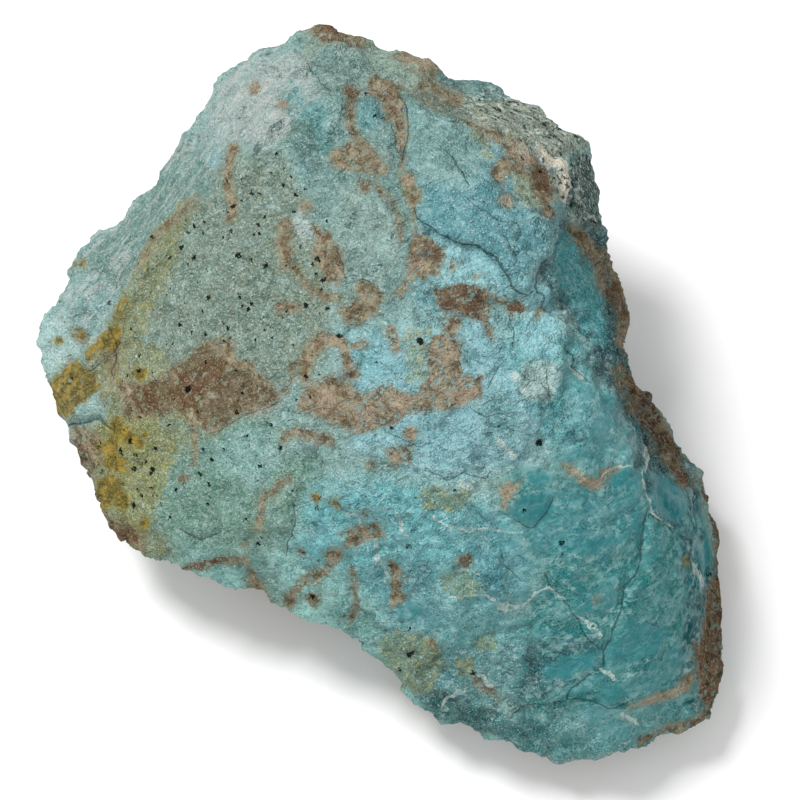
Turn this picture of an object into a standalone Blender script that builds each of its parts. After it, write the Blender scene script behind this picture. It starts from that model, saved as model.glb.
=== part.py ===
"""Rough turquoise: one broken lump of turquoise with its brown host rock, lying on a flat of its own.

The stone is designed on its broad face, the one that an eye above it looks down on. There u runs to
the right, v runs up the face and w runs out of it, towards the eye, all in millimetres. A rim of
points is the stone's outline. A net of ridges and corners lies inside it on the face, and a second
net makes the underside. Both nets are filled with flat facets, which are then divided, worn round
and roughened, as a piece broken out of a vein is. The stone ends up in metres, with Z up, lying on
Z = 0.
"""

import math

import bmesh
import bpy
from mathutils import Matrix, Vector, noise
from mathutils.geometry import delaunay_2d_cdt

MM = 0.001

# How the stone lies
FACE_RISE = math.radians(65.0)  # the line of sight to the broad face, above the table
EYE_DISTANCE = 400.0  # u and v are stated as seen from here, so a near point shows larger
FACE_HEIGHT = 29.0  # the face's zero point, above the table

# The rim: the stone's outline, clockwise from its top
RIM = [
    (-12.0, 56.1, -10.0), (-7.2, 54.6, -11.0), (0.0, 52.2, -12.0), (4.8, 50.7, -13.0),
    (7.1, 48.2, -12.0), (11.3, 48.2, -13.0), (15.0, 46.8, -13.0), (16.4, 45.3, -12.0),
    (19.5, 44.4, -12.0), (22.1, 42.0, -12.0), (26.7, 39.2, -14.0), (28.5, 35.3, -15.0),
    (29.7, 31.5, -16.0), (29.6, 28.2, -16.0), (30.6, 23.3, -16.0), (31.8, 20.7, -17.0),
    (34.1, 12.0, -18.0), (33.9, 6.8, -17.0), (37.5, -0.8, -16.0), (40.8, -5.4, -15.0),
    (43.5, -9.3, -14.0), (46.1, -15.0, -14.0), (47.3, -21.0, -14.0), (46.7, -24.0, -14.0),
    (47.9, -27.0, -13.0), (47.3, -30.8, -10.0), (48.2, -39.0, -6.0), (47.7, -43.5, -3.5),
    (45.0, -47.3, -1.5), (39.0, -50.7, 0.5), (30.8, -53.6, 1.5), (20.7, -53.7, 2.5),
    (16.8, -50.7, 1.5), (9.8, -47.4, 1.0), (6.0, -47.4, 0.0), (1.8, -44.7, 0.0),
    (-0.3, -41.1, 1.0), (-6.3, -36.3, 1.0), (-10.2, -33.3, 1.0), (-12.3, -33.8, 0.0),
    (-17.3, -30.9, 0.0), (-20.7, -29.0, -1.0), (-26.0, -27.8, -1.0), (-31.5, -25.2, -3.0),
    (-40.5, -22.2, -6.0), (-43.8, -18.8, -7.0), (-46.5, -13.1, -8.0), (-48.2, -7.5, -9.0),
    (-49.5, -4.5, -10.0), (-51.8, 2.3, -11.0), (-54.5, 8.3, -12.0), (-53.7, 11.7, -12.0),
    (-49.8, 17.7, -11.0), (-48.3, 21.3, -11.0), (-45.5, 24.5, -10.0), (-41.7, 26.7, -10.0),
    (-36.8, 32.7, -9.0), (-33.0, 38.3, -9.0), (-29.3, 44.3, -9.0), (-26.3, 48.5, -9.0),
    (-20.7, 52.5, -9.0), (-17.3, 53.7, -9.0), (-15.0, 55.5, -10.0),
]
RIM_SWELL = 1.008  # makes up for what the wear takes off the rim

# Ridges of the broad face: lines of corners where two fracture faces meet
PALE_CREST = [(-13.4, 52.8, -6.0), (-16.5, 47.6, 0.5), (-18.2, 42.5, 5.0)]
TOP_CREST = [
    (-8.3, 52.5, -6.0), (-3.0, 48.8, -1.0), (0.0, 46.8, 1.0), (6.0, 44.3, 3.0),
    (15.0, 39.8, 5.0), (21.0, 37.5, 5.0), (23.0, 34.2, 4.0),
]
SLAB_EDGE = [(22.2, 30.0, 8.0), (21.5, 24.8, 12.0), (19.8, 20.7, 15.5), (19.5, 16.1, 18.5)]
SHOULDER = [
    (24.8, 12.3, 17.0), (30.0, 6.8, 14.0), (33.3, -0.8, 12.5), (35.4, -7.5, 12.5),
    (36.9, -15.9, 12.0), (40.8, -20.1, 6.5), (41.9, -31.7, 5.0), (42.9, -36.8, 4.0),
]
RIND_EDGE = [
    (25.5, 32.3, 0.0), (28.3, 27.8, -6.0), (29.6, 20.7, -8.0), (31.6, 12.0, -9.0),
    (32.4, 5.3, -8.0), (36.0, -3.0, -2.0), (38.3, -8.3, 1.0), (42.5, -12.0, -5.0),
]
FOOT_EDGE = [(24.8, -45.5, 8.5), (30.0, -45.3, 8.0), (36.0, -43.5, 7.0), (43.5, -39.9, 3.0)]
STRIP_TOP = [
    (-43.0, 8.3, -2.0), (-40.5, 13.5, -0.5), (-35.3, 21.8, 2.0), (-30.0, 28.5, 4.5),
    (-24.8, 36.0, 6.5),
]
STRIP_FOOT = [
    (-44.4, 9.2, -5.0), (-42.0, 15.0, -4.0), (-37.0, 23.4, -2.0), (-31.8, 30.3, 0.5),
    (-27.0, 37.5, 2.0),
]
RIDGES = [
    PALE_CREST, TOP_CREST, SLAB_EDGE, SHOULDER, RIND_EDGE, FOOT_EDGE, STRIP_TOP, STRIP_FOOT,
]

# Single corners of the broad face, between those ridges
CORNERS = [
    # the far slope behind the top crest
    (0.5, 50.0, -8.0), (10.5, 45.3, -7.0), (20.0, 41.0, -6.5), (26.3, 35.3, -8.0),
    # the hollow beside the slab
    (25.8, 20.7, 2.0), (26.3, 15.0, 5.5), (28.8, 11.5, 5.0), (31.0, 7.5, 3.0),
    # the pale strip at the left
    (-48.0, 15.0, -6.5), (-51.0, 8.3, -9.0), (-43.5, 20.7, -6.0), (-34.5, 34.0, -3.0),
    (-28.0, 42.0, -2.0), (-22.5, 48.8, -2.5),
    # the slab under the top crest
    (-10.5, 43.5, 7.0), (-3.0, 39.0, 9.0), (6.0, 36.0, 11.5), (13.5, 30.0, 13.5),
    (-10.5, 30.0, 12.0), (0.0, 27.8, 15.5), (7.5, 24.8, 17.5), (13.5, 20.7, 18.5),
    # the speckled flat
    (-20.3, 33.0, 8.0), (-22.5, 22.5, 9.5), (-10.5, 16.5, 15.0), (-33.0, 15.0, 4.5),
    (-25.5, 7.5, 8.5), (-15.0, 3.0, 13.5), (-30.0, 0.0, 7.0), (-37.5, -3.0, 2.5),
    # the low left end
    (-45.0, 0.0, -4.0), (-47.0, -6.0, -6.5), (-43.0, -12.0, -3.0), (-36.0, -12.0, 2.5),
    (-25.5, -10.5, 9.0), (-18.0, -18.0, 10.0), (-30.0, -21.0, 2.5), (-16.5, -27.0, 5.0),
    # the middle, highest of all
    (0.0, 10.5, 18.5), (9.0, 10.5, 20.5), (18.0, 7.5, 21.0), (26.3, 3.0, 18.5),
    (-10.5, -3.0, 16.0), (6.0, 0.0, 21.0), (18.0, -4.5, 21.5), (28.5, -6.0, 18.5),
    (-9.0, -12.0, 15.5), (3.0, -12.0, 19.5), (15.0, -12.0, 20.5),
    # the smooth slope down to the foot
    (-9.0, -24.0, 10.5), (3.0, -25.5, 14.0), (15.0, -24.0, 17.0), (27.0, -18.0, 18.0),
    (0.0, -36.0, 6.0), (12.0, -36.0, 10.5), (28.5, -30.0, 13.5), (25.5, -39.0, 9.5),
    (36.0, -24.0, 11.5), (36.0, -36.0, 9.0), (6.0, -43.0, 5.0), (18.0, -45.0, 7.5),
    (33.0, -50.0, 4.0), (22.5, -50.3, 4.5),
]

# The underside, in the lying stone's own X, Y and height above the table
RESTING_FLAT = [
    (-27.0, 5.0), (-19.0, -8.0), (-3.0, -21.0), (15.0, -32.0), (30.0, -31.0), (34.0, -17.0),
    (29.0, 3.0), (20.0, 19.0), (6.0, 30.0), (-11.0, 31.0), (-23.0, 20.0),
]
RESTING_DEPTH = 1.5  # this far under the table, so that the cut there is wholly flat
UNDER_CORNERS = [
    # the overhanging left end
    (-47.0, 13.0, 12.0), (-44.0, -2.0, 10.0), (-37.0, 6.0, 4.0), (-34.0, -13.0, 7.0),
    (-43.0, 24.0, 18.0), (-33.0, 27.0, 8.0),
    # the low near side
    (-25.0, -22.0, 8.5), (-14.0, -25.0, 6.5), (5.0, -34.0, 5.0), (22.0, -42.0, 1.5),
    # the far wall
    (-30.0, 39.0, 26.0), (-25.0, 40.0, 11.0), (-15.0, 54.5, 30.0), (-9.0, 50.0, 15.0),
    (-10.0, 40.0, 3.0), (2.0, 54.0, 32.0), (9.0, 46.0, 11.0), (16.0, 47.5, 25.0),
    (22.0, 35.0, 8.0), (30.0, 36.5, 18.0), (14.0, 31.0, 2.0),
    # the right wall
    (35.0, 21.0, 9.0), (31.0, 14.0, 2.0), (40.0, 6.0, 7.0), (44.5, -8.0, 6.0), (38.0, -8.0, 1.0),
    (46.5, -24.0, 3.0), (40.0, -34.0, 0.5),
    # the middle of the resting flat
    (4.0, 8.0, -RESTING_DEPTH), (14.0, -14.0, -RESTING_DEPTH),
]

# Relief on the facets
CUTS_PER_EDGE = 7  # each facet becomes 64 smaller ones
FACET_WEAR, RELIEF_WEAR = 3, 1  # passes that wear the facets' edges round, and then the relief
WEAR = 0.4
SWELL_SIZE, SWELL_HEIGHT = 16.0, 1.1
PLATE_SIZES = {13.0: 1.5, 6.0: 0.75}  # small fracture planes: their size, and how far they lean
GRAIN_SIZE, GRAIN_HEIGHT = 3.2, 0.3
# How far apart the three noises of a drift are read, so that they don't follow each other
DRIFT_SHIFTS = [Vector((0.0, 0.0, 0.0)), Vector((31.4, 17.9, 5.3)), Vector((-12.7, 41.1, 23.6))]
KEPT_SHARE = 0.365  # of the triangles, after the flat stretches are thinned out

# Steps in the broad face: a line (u, v), the drop across it to the line's right, and its reach
LEDGE_SLOPE = 0.8
LEDGES = [
    ([(2.5, 30.0), (6.3, 25.5), (13.5, 21.0), (15.3, 17.0), (19.8, 15.6)], 2.0, 3.5),
    ([(24.8, -45.0), (30.5, -46.0), (36.5, -43.0), (43.0, -39.5)], 1.2, 3.0),
    ([(-15.5, 47.5), (-12.0, 41.0), (-9.0, 34.5)], 1.0, 3.0),
    ([(-49.0, -4.0), (-45.0, -1.5), (-43.5, -4.0)], 1.2, 2.5),
    ([(-18.5, -15.0), (-18.5, -21.0), (-20.0, -25.0)], 1.0, 2.5),
    ([(16.5, 5.0), (17.0, -1.0), (15.0, -8.0)], 1.0, 3.0),
    ([(37.0, -16.5), (36.0, -24.0), (32.5, -31.0), (30.5, -39.0)], 1.0, 3.0),
]
# Hollows struck out of the underside and far wall: centre, radius and depth
HOLLOWS = [
    (Vector((6.0, 52.0, 20.0)), 13.0, 3.0),
    (Vector((-37.0, 33.0, 22.0)), 11.0, 2.5),
    (Vector((-38.0, 6.0, 8.0)), 12.0, 3.0),
    (Vector((38.0, 14.0, 11.0)), 9.0, 2.2),
    (Vector((-4.0, -31.0, 8.0)), 9.0, 1.8),
]


def lie_down(u, v, w):
    """A point of the broad face, in the lying stone's X, Y and height."""
    near = 1.0 - w / EYE_DISTANCE
    u, v = u * near, v * near
    rise, run = math.sin(FACE_RISE), math.cos(FACE_RISE)
    return Vector((u, v * rise - w * run, v * run + w * rise + FACE_HEIGHT))


def as_seen(point):
    """Where the eye sees a point of the lying stone, as u and v."""
    rise, run = math.sin(FACE_RISE), math.cos(FACE_RISE)
    height = point.z - FACE_HEIGHT
    v, w = point.y * rise + height * run, height * rise - point.y * run
    near = 1.0 - w / EYE_DISTANCE
    return Vector((point.x / near, v / near))


def lay_net(bm, rim, inner, lines, outward):
    """Fills the rim with facets that pass through the inner corners and along the lines."""
    corners = rim + inner
    places = [as_seen(vertex.co) for vertex in corners]
    index = {vertex: number for number, vertex in enumerate(corners)}
    kept = [(i, (i + 1) % len(rim)) for i in range(len(rim))]
    for line in lines:
        kept += [(index[a], index[b]) for a, b in zip(line, line[1:])]
    _, _, facets, came_from, _, _ = delaunay_2d_cdt(places, kept, [], 1, 1e-4)
    for facet in facets:
        loop = [corners[came_from[number][0]] for number in facet]
        bm.faces.new(loop if outward > 0 else loop[::-1])


def build_facets(bm):
    """The stone as broken: a rim, with a net of flat facets on its face and one underneath."""
    rim = [bm.verts.new(lie_down(u * RIM_SWELL, v * RIM_SWELL, w)) for u, v, w in RIM]
    ridges = [[bm.verts.new(lie_down(*place)) for place in ridge] for ridge in RIDGES]
    corners = [bm.verts.new(lie_down(*place)) for place in CORNERS]
    flat = [bm.verts.new((x, y, -RESTING_DEPTH)) for x, y in RESTING_FLAT]
    under = [bm.verts.new(place) for place in UNDER_CORNERS]
    on_face = [vertex for ridge in ridges for vertex in ridge] + corners
    lay_net(bm, rim, on_face, ridges, outward=1)
    lay_net(bm, rim, flat + under, [flat + flat[:1]], outward=-1)


def line_offset(place, line):
    """How far a place lies from a line, which side it is on, and how far along it, from 0 to 1."""
    best = (1e9, 1.0, 0.0)
    for number, (start, end) in enumerate(zip(line, line[1:])):
        start, along = Vector(start), Vector(end) - Vector(start)
        share = max(0.0, min(1.0, (place - start).dot(along) / along.length_squared))
        away = place - (start + along * share)
        side = 1.0 if along.cross(place - start) > 0 else -1.0
        if away.length < best[0]:
            best = (away.length, side, (number + share) / (len(line) - 1))
    return best


def ledge_height(place):
    """The steps' part in the relief of the broad face, at a place as seen."""
    height = 0.0
    for line, drop, reach in LEDGES:
        distance, side, along = line_offset(place, line)
        fade = math.sin(math.pi * min(1.0, max(0.0, 0.1 + 0.8 * along)))
        step = side * min(1.0, distance / LEDGE_SLOPE)
        height += step * 0.5 * drop * fade * math.exp(-distance / reach)
    return height


def drift(place):
    """A noise vector that is the same on each run, from three single noises."""
    return Vector([noise.noise(place + shift) for shift in DRIFT_SHIFTS])


def plates(point, size, lean):
    """Small fracture planes that each lean their own way and meet in steps."""
    place = point / size + drift(point / size * 2.0) * 0.2
    middle = noise.voronoi(place)[1][0]
    return (place - middle).dot(drift(middle * 5.3)) * lean


def roughness(point):
    """Swells, fracture planes and grain that cover the whole stone."""
    height = noise.noise(point / SWELL_SIZE) * SWELL_HEIGHT
    for size, lean in PLATE_SIZES.items():
        height += plates(point, size, lean)
    return height + noise.fractal(point / GRAIN_SIZE, 1.0, 2.0, 2) * GRAIN_HEIGHT


def hollow_depth(point):
    """How deep the struck hollows go at a point."""
    depth = 0.0
    for centre, radius, most in HOLLOWS:
        share = (point - centre).length / radius
        if share < 1.0:
            depth += most * (1.0 - share * share) ** 2
    return depth


def wear_round(bm, passes):
    """Rounds the facets' edges and corners a little more with each pass."""
    for _ in range(passes):
        bmesh.ops.smooth_vert(
            bm, verts=bm.verts, factor=WEAR, use_axis_x=True, use_axis_y=True, use_axis_z=True
        )


def roughen(bm, eye_way):
    """Moves each vertex along its normal by the relief at its place."""
    bm.normal_update()
    moves = []
    for vertex in bm.verts:
        point, facing = vertex.co.copy(), vertex.normal.dot(eye_way)
        height = roughness(point) - hollow_depth(point)
        if facing > 0:
            height += ledge_height(as_seen(point)) * min(1.0, facing * 2.0)
        moves.append(vertex.normal * height)
    for vertex, move in zip(bm.verts, moves):
        vertex.co += move


def rest_on_table(bm):
    """Cuts the underside flat at the table and centres the stone over the origin."""
    for vertex in bm.verts:
        vertex.co.z = max(0.0, vertex.co.z)
    xs = [vertex.co.x for vertex in bm.verts]
    ys = [vertex.co.y for vertex in bm.verts]
    centre = Vector(((min(xs) + max(xs)) / 2, (min(ys) + max(ys)) / 2, 0.0))
    bmesh.ops.translate(bm, verts=bm.verts, vec=-centre)


def stone_material():
    """Blue-green turquoise, waxy where it is smooth."""
    material = bpy.data.materials.new("turquoise")
    material.use_nodes = True
    shader = material.node_tree.nodes["Principled BSDF"]
    shader.inputs["Base Color"].default_value = (0.165, 0.345, 0.345, 1.0)
    shader.inputs["Roughness"].default_value = 0.6
    shader.inputs["Metallic"].default_value = 0.0
    return material


def build_stone(collection):
    bm = bmesh.new()
    build_facets(bm)
    bmesh.ops.subdivide_edges(bm, edges=bm.edges, cuts=CUTS_PER_EDGE, use_grid_fill=True)
    bmesh.ops.triangulate(bm, faces=bm.faces)
    wear_round(bm, FACET_WEAR)
    eye_way = Vector((0.0, -math.cos(FACE_RISE), math.sin(FACE_RISE)))
    roughen(bm, eye_way)
    wear_round(bm, RELIEF_WEAR)
    rest_on_table(bm)
    bmesh.ops.transform(bm, matrix=Matrix.Scale(MM, 4), verts=bm.verts)
    mesh = bpy.data.meshes.new("turquoise_stone")
    bm.to_mesh(mesh)
    bm.free()
    mesh.materials.append(stone_material())
    mesh.shade_smooth()
    stone = bpy.data.objects.new("turquoise_stone", mesh)
    thinned = stone.modifiers.new("thin out the flat stretches", "DECIMATE")
    thinned.ratio = KEPT_SHARE
    collection.objects.link(stone)


def main():
    for old in list(bpy.data.objects):
        bpy.data.objects.remove(old)
    collection = bpy.data.collections.new("rough_turquoise")
    bpy.context.scene.collection.children.link(collection)
    build_stone(collection)


main()
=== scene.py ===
"""The looks of the rough turquoise: a fine broken surface on the solid stone, its colours and light.

Lengths are in millimetres until the mesh is finished. The marks on the broad face, such as patches
of host rock, veins and cracks, are named and placed by pixels of the photograph's 800 by 800 frame,
which the camera repeats. Each becomes a soft field on the stone's vertices, and the material cuts
it sharp with a finer pattern of its own. The sides that the photograph doesn't show get patches of
the same kinds from noise.
"""

import math

import bmesh
import bpy
import numpy as np
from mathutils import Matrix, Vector, noise


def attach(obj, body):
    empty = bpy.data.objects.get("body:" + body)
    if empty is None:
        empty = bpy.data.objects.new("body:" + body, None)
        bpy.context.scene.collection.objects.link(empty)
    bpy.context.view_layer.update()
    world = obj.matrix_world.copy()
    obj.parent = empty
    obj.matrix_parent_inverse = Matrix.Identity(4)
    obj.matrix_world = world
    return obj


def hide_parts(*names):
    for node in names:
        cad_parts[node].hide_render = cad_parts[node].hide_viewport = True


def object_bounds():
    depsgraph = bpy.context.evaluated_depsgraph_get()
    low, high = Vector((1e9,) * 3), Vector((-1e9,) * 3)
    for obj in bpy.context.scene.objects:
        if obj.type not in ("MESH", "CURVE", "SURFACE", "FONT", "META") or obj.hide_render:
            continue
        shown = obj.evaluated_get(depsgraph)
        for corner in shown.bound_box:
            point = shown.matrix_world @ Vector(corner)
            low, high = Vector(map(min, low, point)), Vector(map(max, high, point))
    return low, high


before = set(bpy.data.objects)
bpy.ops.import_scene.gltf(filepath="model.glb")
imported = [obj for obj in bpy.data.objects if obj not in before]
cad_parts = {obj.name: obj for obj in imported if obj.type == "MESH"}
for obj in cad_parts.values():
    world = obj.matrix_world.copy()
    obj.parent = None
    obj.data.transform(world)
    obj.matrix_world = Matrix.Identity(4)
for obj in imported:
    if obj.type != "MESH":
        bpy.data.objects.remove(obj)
cad_lowest, cad_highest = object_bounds()

NODE = "turquoise_stone"
MM = 0.001

# The photograph's frame, and the eye that it was taken from
PHOTO_SIDE = 800
PIXEL = 0.15  # of the stone's face, at the depth of PHOTO_CENTRE
PHOTO_CENTRE = Vector((3.33, -3.08, 29.0))
EYE_RISE = math.radians(65.0)
EYE_DISTANCE = 400.0
TO_EYE = Vector((0.0, -math.cos(EYE_RISE), math.sin(EYE_RISE)))
SENSOR = 36.0

# The fine mesh
VOXEL = 0.575
VOXEL_SMOOTHING = 2  # passes
RELIEF_SMOOTHING = 0.25
RIDGE_SPREAD = 80  # passes that even out which way the surface faces, about 4 mm wide

# Washes: soft areas of one colour on the broad face, laid over each other in this order; "peak shade"
# and "crest shade" are painted shade
# Each is its colour, the width of its soft edge and its outline, in pixels
GROUND_COLOUR = "#86a6a0"
WASHES = {
    "bright slab": ("#5d9299", 30, [
        (290, 90), (400, 95), (470, 130), (560, 170), (550, 250), (530, 290), (470, 340),
        (400, 300), (350, 240), (300, 170),
    ]),
    "slab top": ("#799e9b", 20, [
        (404, 92), (445, 108), (478, 135), (486, 172), (455, 196), (425, 190), (410, 160),
    ]),
    "upper middle": ("#73928c", 30, [
        (285, 95), (345, 96), (400, 120), (412, 170), (424, 215), (428, 262), (410, 300),
        (366, 322), (334, 280), (316, 210),
    ]),
    "upper light": ("#829a91", 20, [
        (335, 190), (372, 186), (398, 215), (402, 262), (380, 285), (350, 270), (338, 230),
    ]),
    "under the ledge": ("#8dc1c6", 14, [
        (424, 228), (446, 240), (476, 252), (492, 268), (506, 296), (480, 296), (440, 288),
        (432, 262),
    ]),
    "bright middle": ("#86b7be", 35, [
        (340, 330), (480, 320), (560, 340), (600, 420), (520, 460), (420, 470), (340, 440),
    ]),
    "top": ("#779188", 20, [
        (285, 50), (345, 48), (390, 70), (410, 92), (380, 96), (340, 104), (306, 96), (290, 80),
    ]),
    "left middle": ("#8e8374", 30, [
        (110, 330), (200, 330), (290, 370), (350, 380), (350, 440), (280, 440), (180, 440),
        (110, 430), (100, 380),
    ]),
    "low middle": ("#6eb2b6", 40, [
        (300, 480), (400, 480), (500, 500), (540, 560), (500, 600), (400, 640), (340, 600),
        (290, 560),
    ]),
    "grey-green flat": ("#74816f", 25, [
        (200, 170), (280, 150), (325, 230), (340, 290), (330, 350), (290, 390), (200, 370),
        (130, 380), (114, 340), (150, 260),
    ]),
    "lower grey-green": ("#698d7d", 25, [
        (115, 400), (200, 410), (290, 420), (330, 450), (300, 520), (260, 580), (180, 560),
        (120, 540), (90, 470),
    ]),
    "low left edge": ("#92c6be", 25, [
        (150, 540), (300, 560), (420, 620), (500, 740), (440, 730), (330, 640), (210, 590),
    ]),
    "right turquoise": ("#599da0", 30, [
        (500, 330), (575, 330), (612, 400), (640, 480), (600, 500), (540, 440),
    ]),
    "deep teal": ("#2b7a79", 35, [
        (500, 470), (640, 480), (700, 520), (725, 600), (700, 710), (600, 750), (530, 720),
        (510, 640), (540, 560),
    ]),
    "low band": ("#69a6a8", 30, [
        (390, 590), (500, 590), (530, 640), (500, 700), (430, 700), (390, 650),
    ]),
    "foot of the middle": ("#6d9d96", 14, [
        (325, 600), (360, 600), (395, 625), (400, 660), (380, 672), (350, 650),
    ]),
    "below the low band": ("#56898b", 18, [
        (400, 640), (450, 640), (520, 645), (600, 640), (596, 665), (540, 690), (480, 695),
        (420, 690), (398, 668),
    ]),
    "below the brown band": ("#7fafb6", 20, [
        (395, 430), (440, 415), (480, 385), (520, 395), (525, 440), (480, 470), (420, 475),
        (390, 455),
    ]),
    "shoulder": ("#8cc4ca", 14, [
        (516, 282), (552, 296), (562, 330), (554, 356), (524, 350), (512, 312),
    ]),
    "right of the middle": ("#4f8f93", 16, [
        (556, 398), (600, 400), (612, 436), (570, 446), (554, 424),
    ]),
    "upper deep": ("#3d8589", 20, [
        (560, 485), (640, 480), (650, 540), (600, 560), (540, 550), (520, 512),
    ]),
    "left of the wall": ("#22585c", 16, [
        (522, 640), (600, 634), (606, 672), (570, 688), (526, 692),
    ]),
    "under the grey rim": ("#5d9498", 18, [
        (390, 562), (436, 556), (446, 600), (440, 648), (400, 650), (384, 612),
    ]),
    "left of the bowl": ("#4f9097", 16, [
        (478, 520), (512, 526), (528, 560), (524, 596), (484, 600), (474, 560),
    ]),
    "right of the band": ("#6b9b9e", 14, [
        (486, 392), (514, 398), (524, 430), (508, 448), (482, 440),
    ]),
    "under the band": ("#7fa09a", 14, [
        (274, 414), (284, 372), (304, 372), (318, 412), (346, 428), (352, 450), (300, 456),
        (272, 440),
    ]),
    "by the flakes": ("#a2beb9", 12, [(520, 362), (548, 362), (560, 380), (550, 400), (524, 396)]),
    "pale flat": ("#7fa79f", 16, [
        (222, 428), (276, 434), (286, 470), (252, 486), (226, 470),
    ]),
    "under the rim": ("#6a9187", 12, [(225, 560), (262, 556), (290, 590), (284, 606), (250, 596)]),
    "olive low left": ("#7d8157", 24, [
        (96, 385), (150, 380), (200, 400), (196, 440), (165, 460), (152, 520), (185, 552),
        (150, 560), (110, 500), (100, 440),
    ]),
    "low mid": ("#2c5c59", 14, [
        (424, 686), (470, 690), (505, 706), (520, 722), (490, 728), (440, 716), (420, 700),
    ]),
    "bottom facet": ("#589393", 12, [
        (500, 712), (600, 708), (690, 700), (700, 740), (560, 765), (510, 745),
    ]),
    "low edge": ("#3f7878", 14, [(500, 712), (556, 724), (556, 756), (530, 762), (500, 742)]),
    "pale strip": ("#83a19d", 18, [
        (35, 345), (65, 270), (105, 225), (155, 170), (205, 95), (255, 45), (300, 45),
        (285, 90), (235, 150), (190, 205), (140, 280), (110, 340), (85, 365), (50, 370),
    ]),
    "strip middle": ("#6b877e", 16, [
        (95, 250), (140, 200), (185, 150), (215, 150), (212, 190), (170, 235), (130, 285),
        (100, 290),
    ]),
    "hazy peak": ("#9ea8a3", 22, [
        (235, 75), (300, 50), (320, 95), (290, 140), (245, 150), (210, 130),
    ]),
    "grey block": ("#8f9581", 8, [
        (452, 108), (480, 80), (510, 92), (547, 118), (584, 141), (562, 156), (525, 148),
        (475, 130),
    ]),
    "dark right block": ("#374843", 10, [
        (573, 150), (600, 170), (606, 225), (585, 228), (568, 200),
    ]),
    "right face": ("#264e55", 14, [
        (560, 215), (606, 235), (632, 340), (655, 415), (690, 465), (665, 525), (645, 480),
        (612, 395), (577, 325), (538, 285),
    ]),
    "far slope": ("#899c8c", 10, [
        (300, 30), (345, 30), (420, 55), (475, 80), (470, 110), (420, 98), (390, 80), (350, 52),
        (305, 55),
    ]),
    "far teal": ("#628683", 10, [
        (425, 60), (450, 62), (486, 76), (508, 90), (512, 101), (490, 102), (464, 96), (444, 86),
    ]),
    "peak teal": ("#5f908e", 12, [
        (285, 100), (296, 84), (312, 100), (330, 128), (338, 152), (318, 154), (298, 128),
    ]),
    # Painted shade: the peak's flank, darkened as if it lay in shadow
    "peak shade": ("#57766e", 8, [
        (288, 118), (312, 122), (324, 150), (318, 166), (296, 160), (284, 140),
    ]),
    # Painted shade: a darker band along the crest
    "crest shade": ("#68877f", 8, [
        (396, 84), (430, 98), (470, 120), (466, 132), (430, 118), (398, 104),
    ]),
    "far band": ("#6b7060", 6, [
        (425, 88), (445, 98), (470, 104), (462, 112), (440, 108), (422, 98),
    ]),
    "left tip": ("#a3c3bf", 16, [(36, 330), (70, 310), (82, 348), (62, 374), (42, 372)]),
    "white patch": ("#a7b3ae", 8, [
        (294, 208), (306, 203), (314, 215), (312, 236), (300, 242), (292, 226),
    ]),
    "sugar corner": ("#eaddc6", 10, [
        (531, 148), (548, 152), (562, 168), (566, 190), (558, 206), (550, 196), (552, 180),
        (540, 166),
    ]),
    "green corner": ("#8d997d", 10, [
        (505, 178), (525, 180), (540, 195), (544, 210), (525, 214), (508, 198),
    ]),
    "disc": ("#679697", 6, [
        (360, 112), (372, 104), (384, 108), (388, 120), (380, 132), (366, 132), (358, 122),
    ]),
    "bright by the arch": ("#77b3ba", 8, [
        (352, 352), (368, 346), (382, 352), (382, 378), (364, 382), (352, 372),
    ]),
    "left lobe": ("#92b0a8", 10, [(60, 412), (92, 394), (110, 398), (112, 418), (98, 428), (70, 430)]),
    "beside the ochre": ("#8b875f", 10, [
        (96, 356), (112, 350), (122, 376), (118, 398), (102, 398), (94, 380),
    ]),
    "blue oval": ("#7ea3a9", 8, [(210, 157), (220, 149), (228, 154), (225, 164), (213, 165)]),
    "right edge": ("#104d52", 14, [
        (668, 525), (700, 528), (716, 600), (708, 690), (690, 706), (676, 680), (684, 600),
    ]),
    "behind the ridge": ("#00333f", 8, [
        (645, 466), (662, 468), (686, 484), (698, 508), (688, 526), (670, 528), (655, 516),
        (648, 500),
    ]),
    "notch": ("#4c9a9f", 12, [
        (560, 232), (575, 228), (590, 260), (598, 300), (606, 345), (592, 345), (570, 305),
        (548, 288), (552, 250),
    ]),
}

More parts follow.
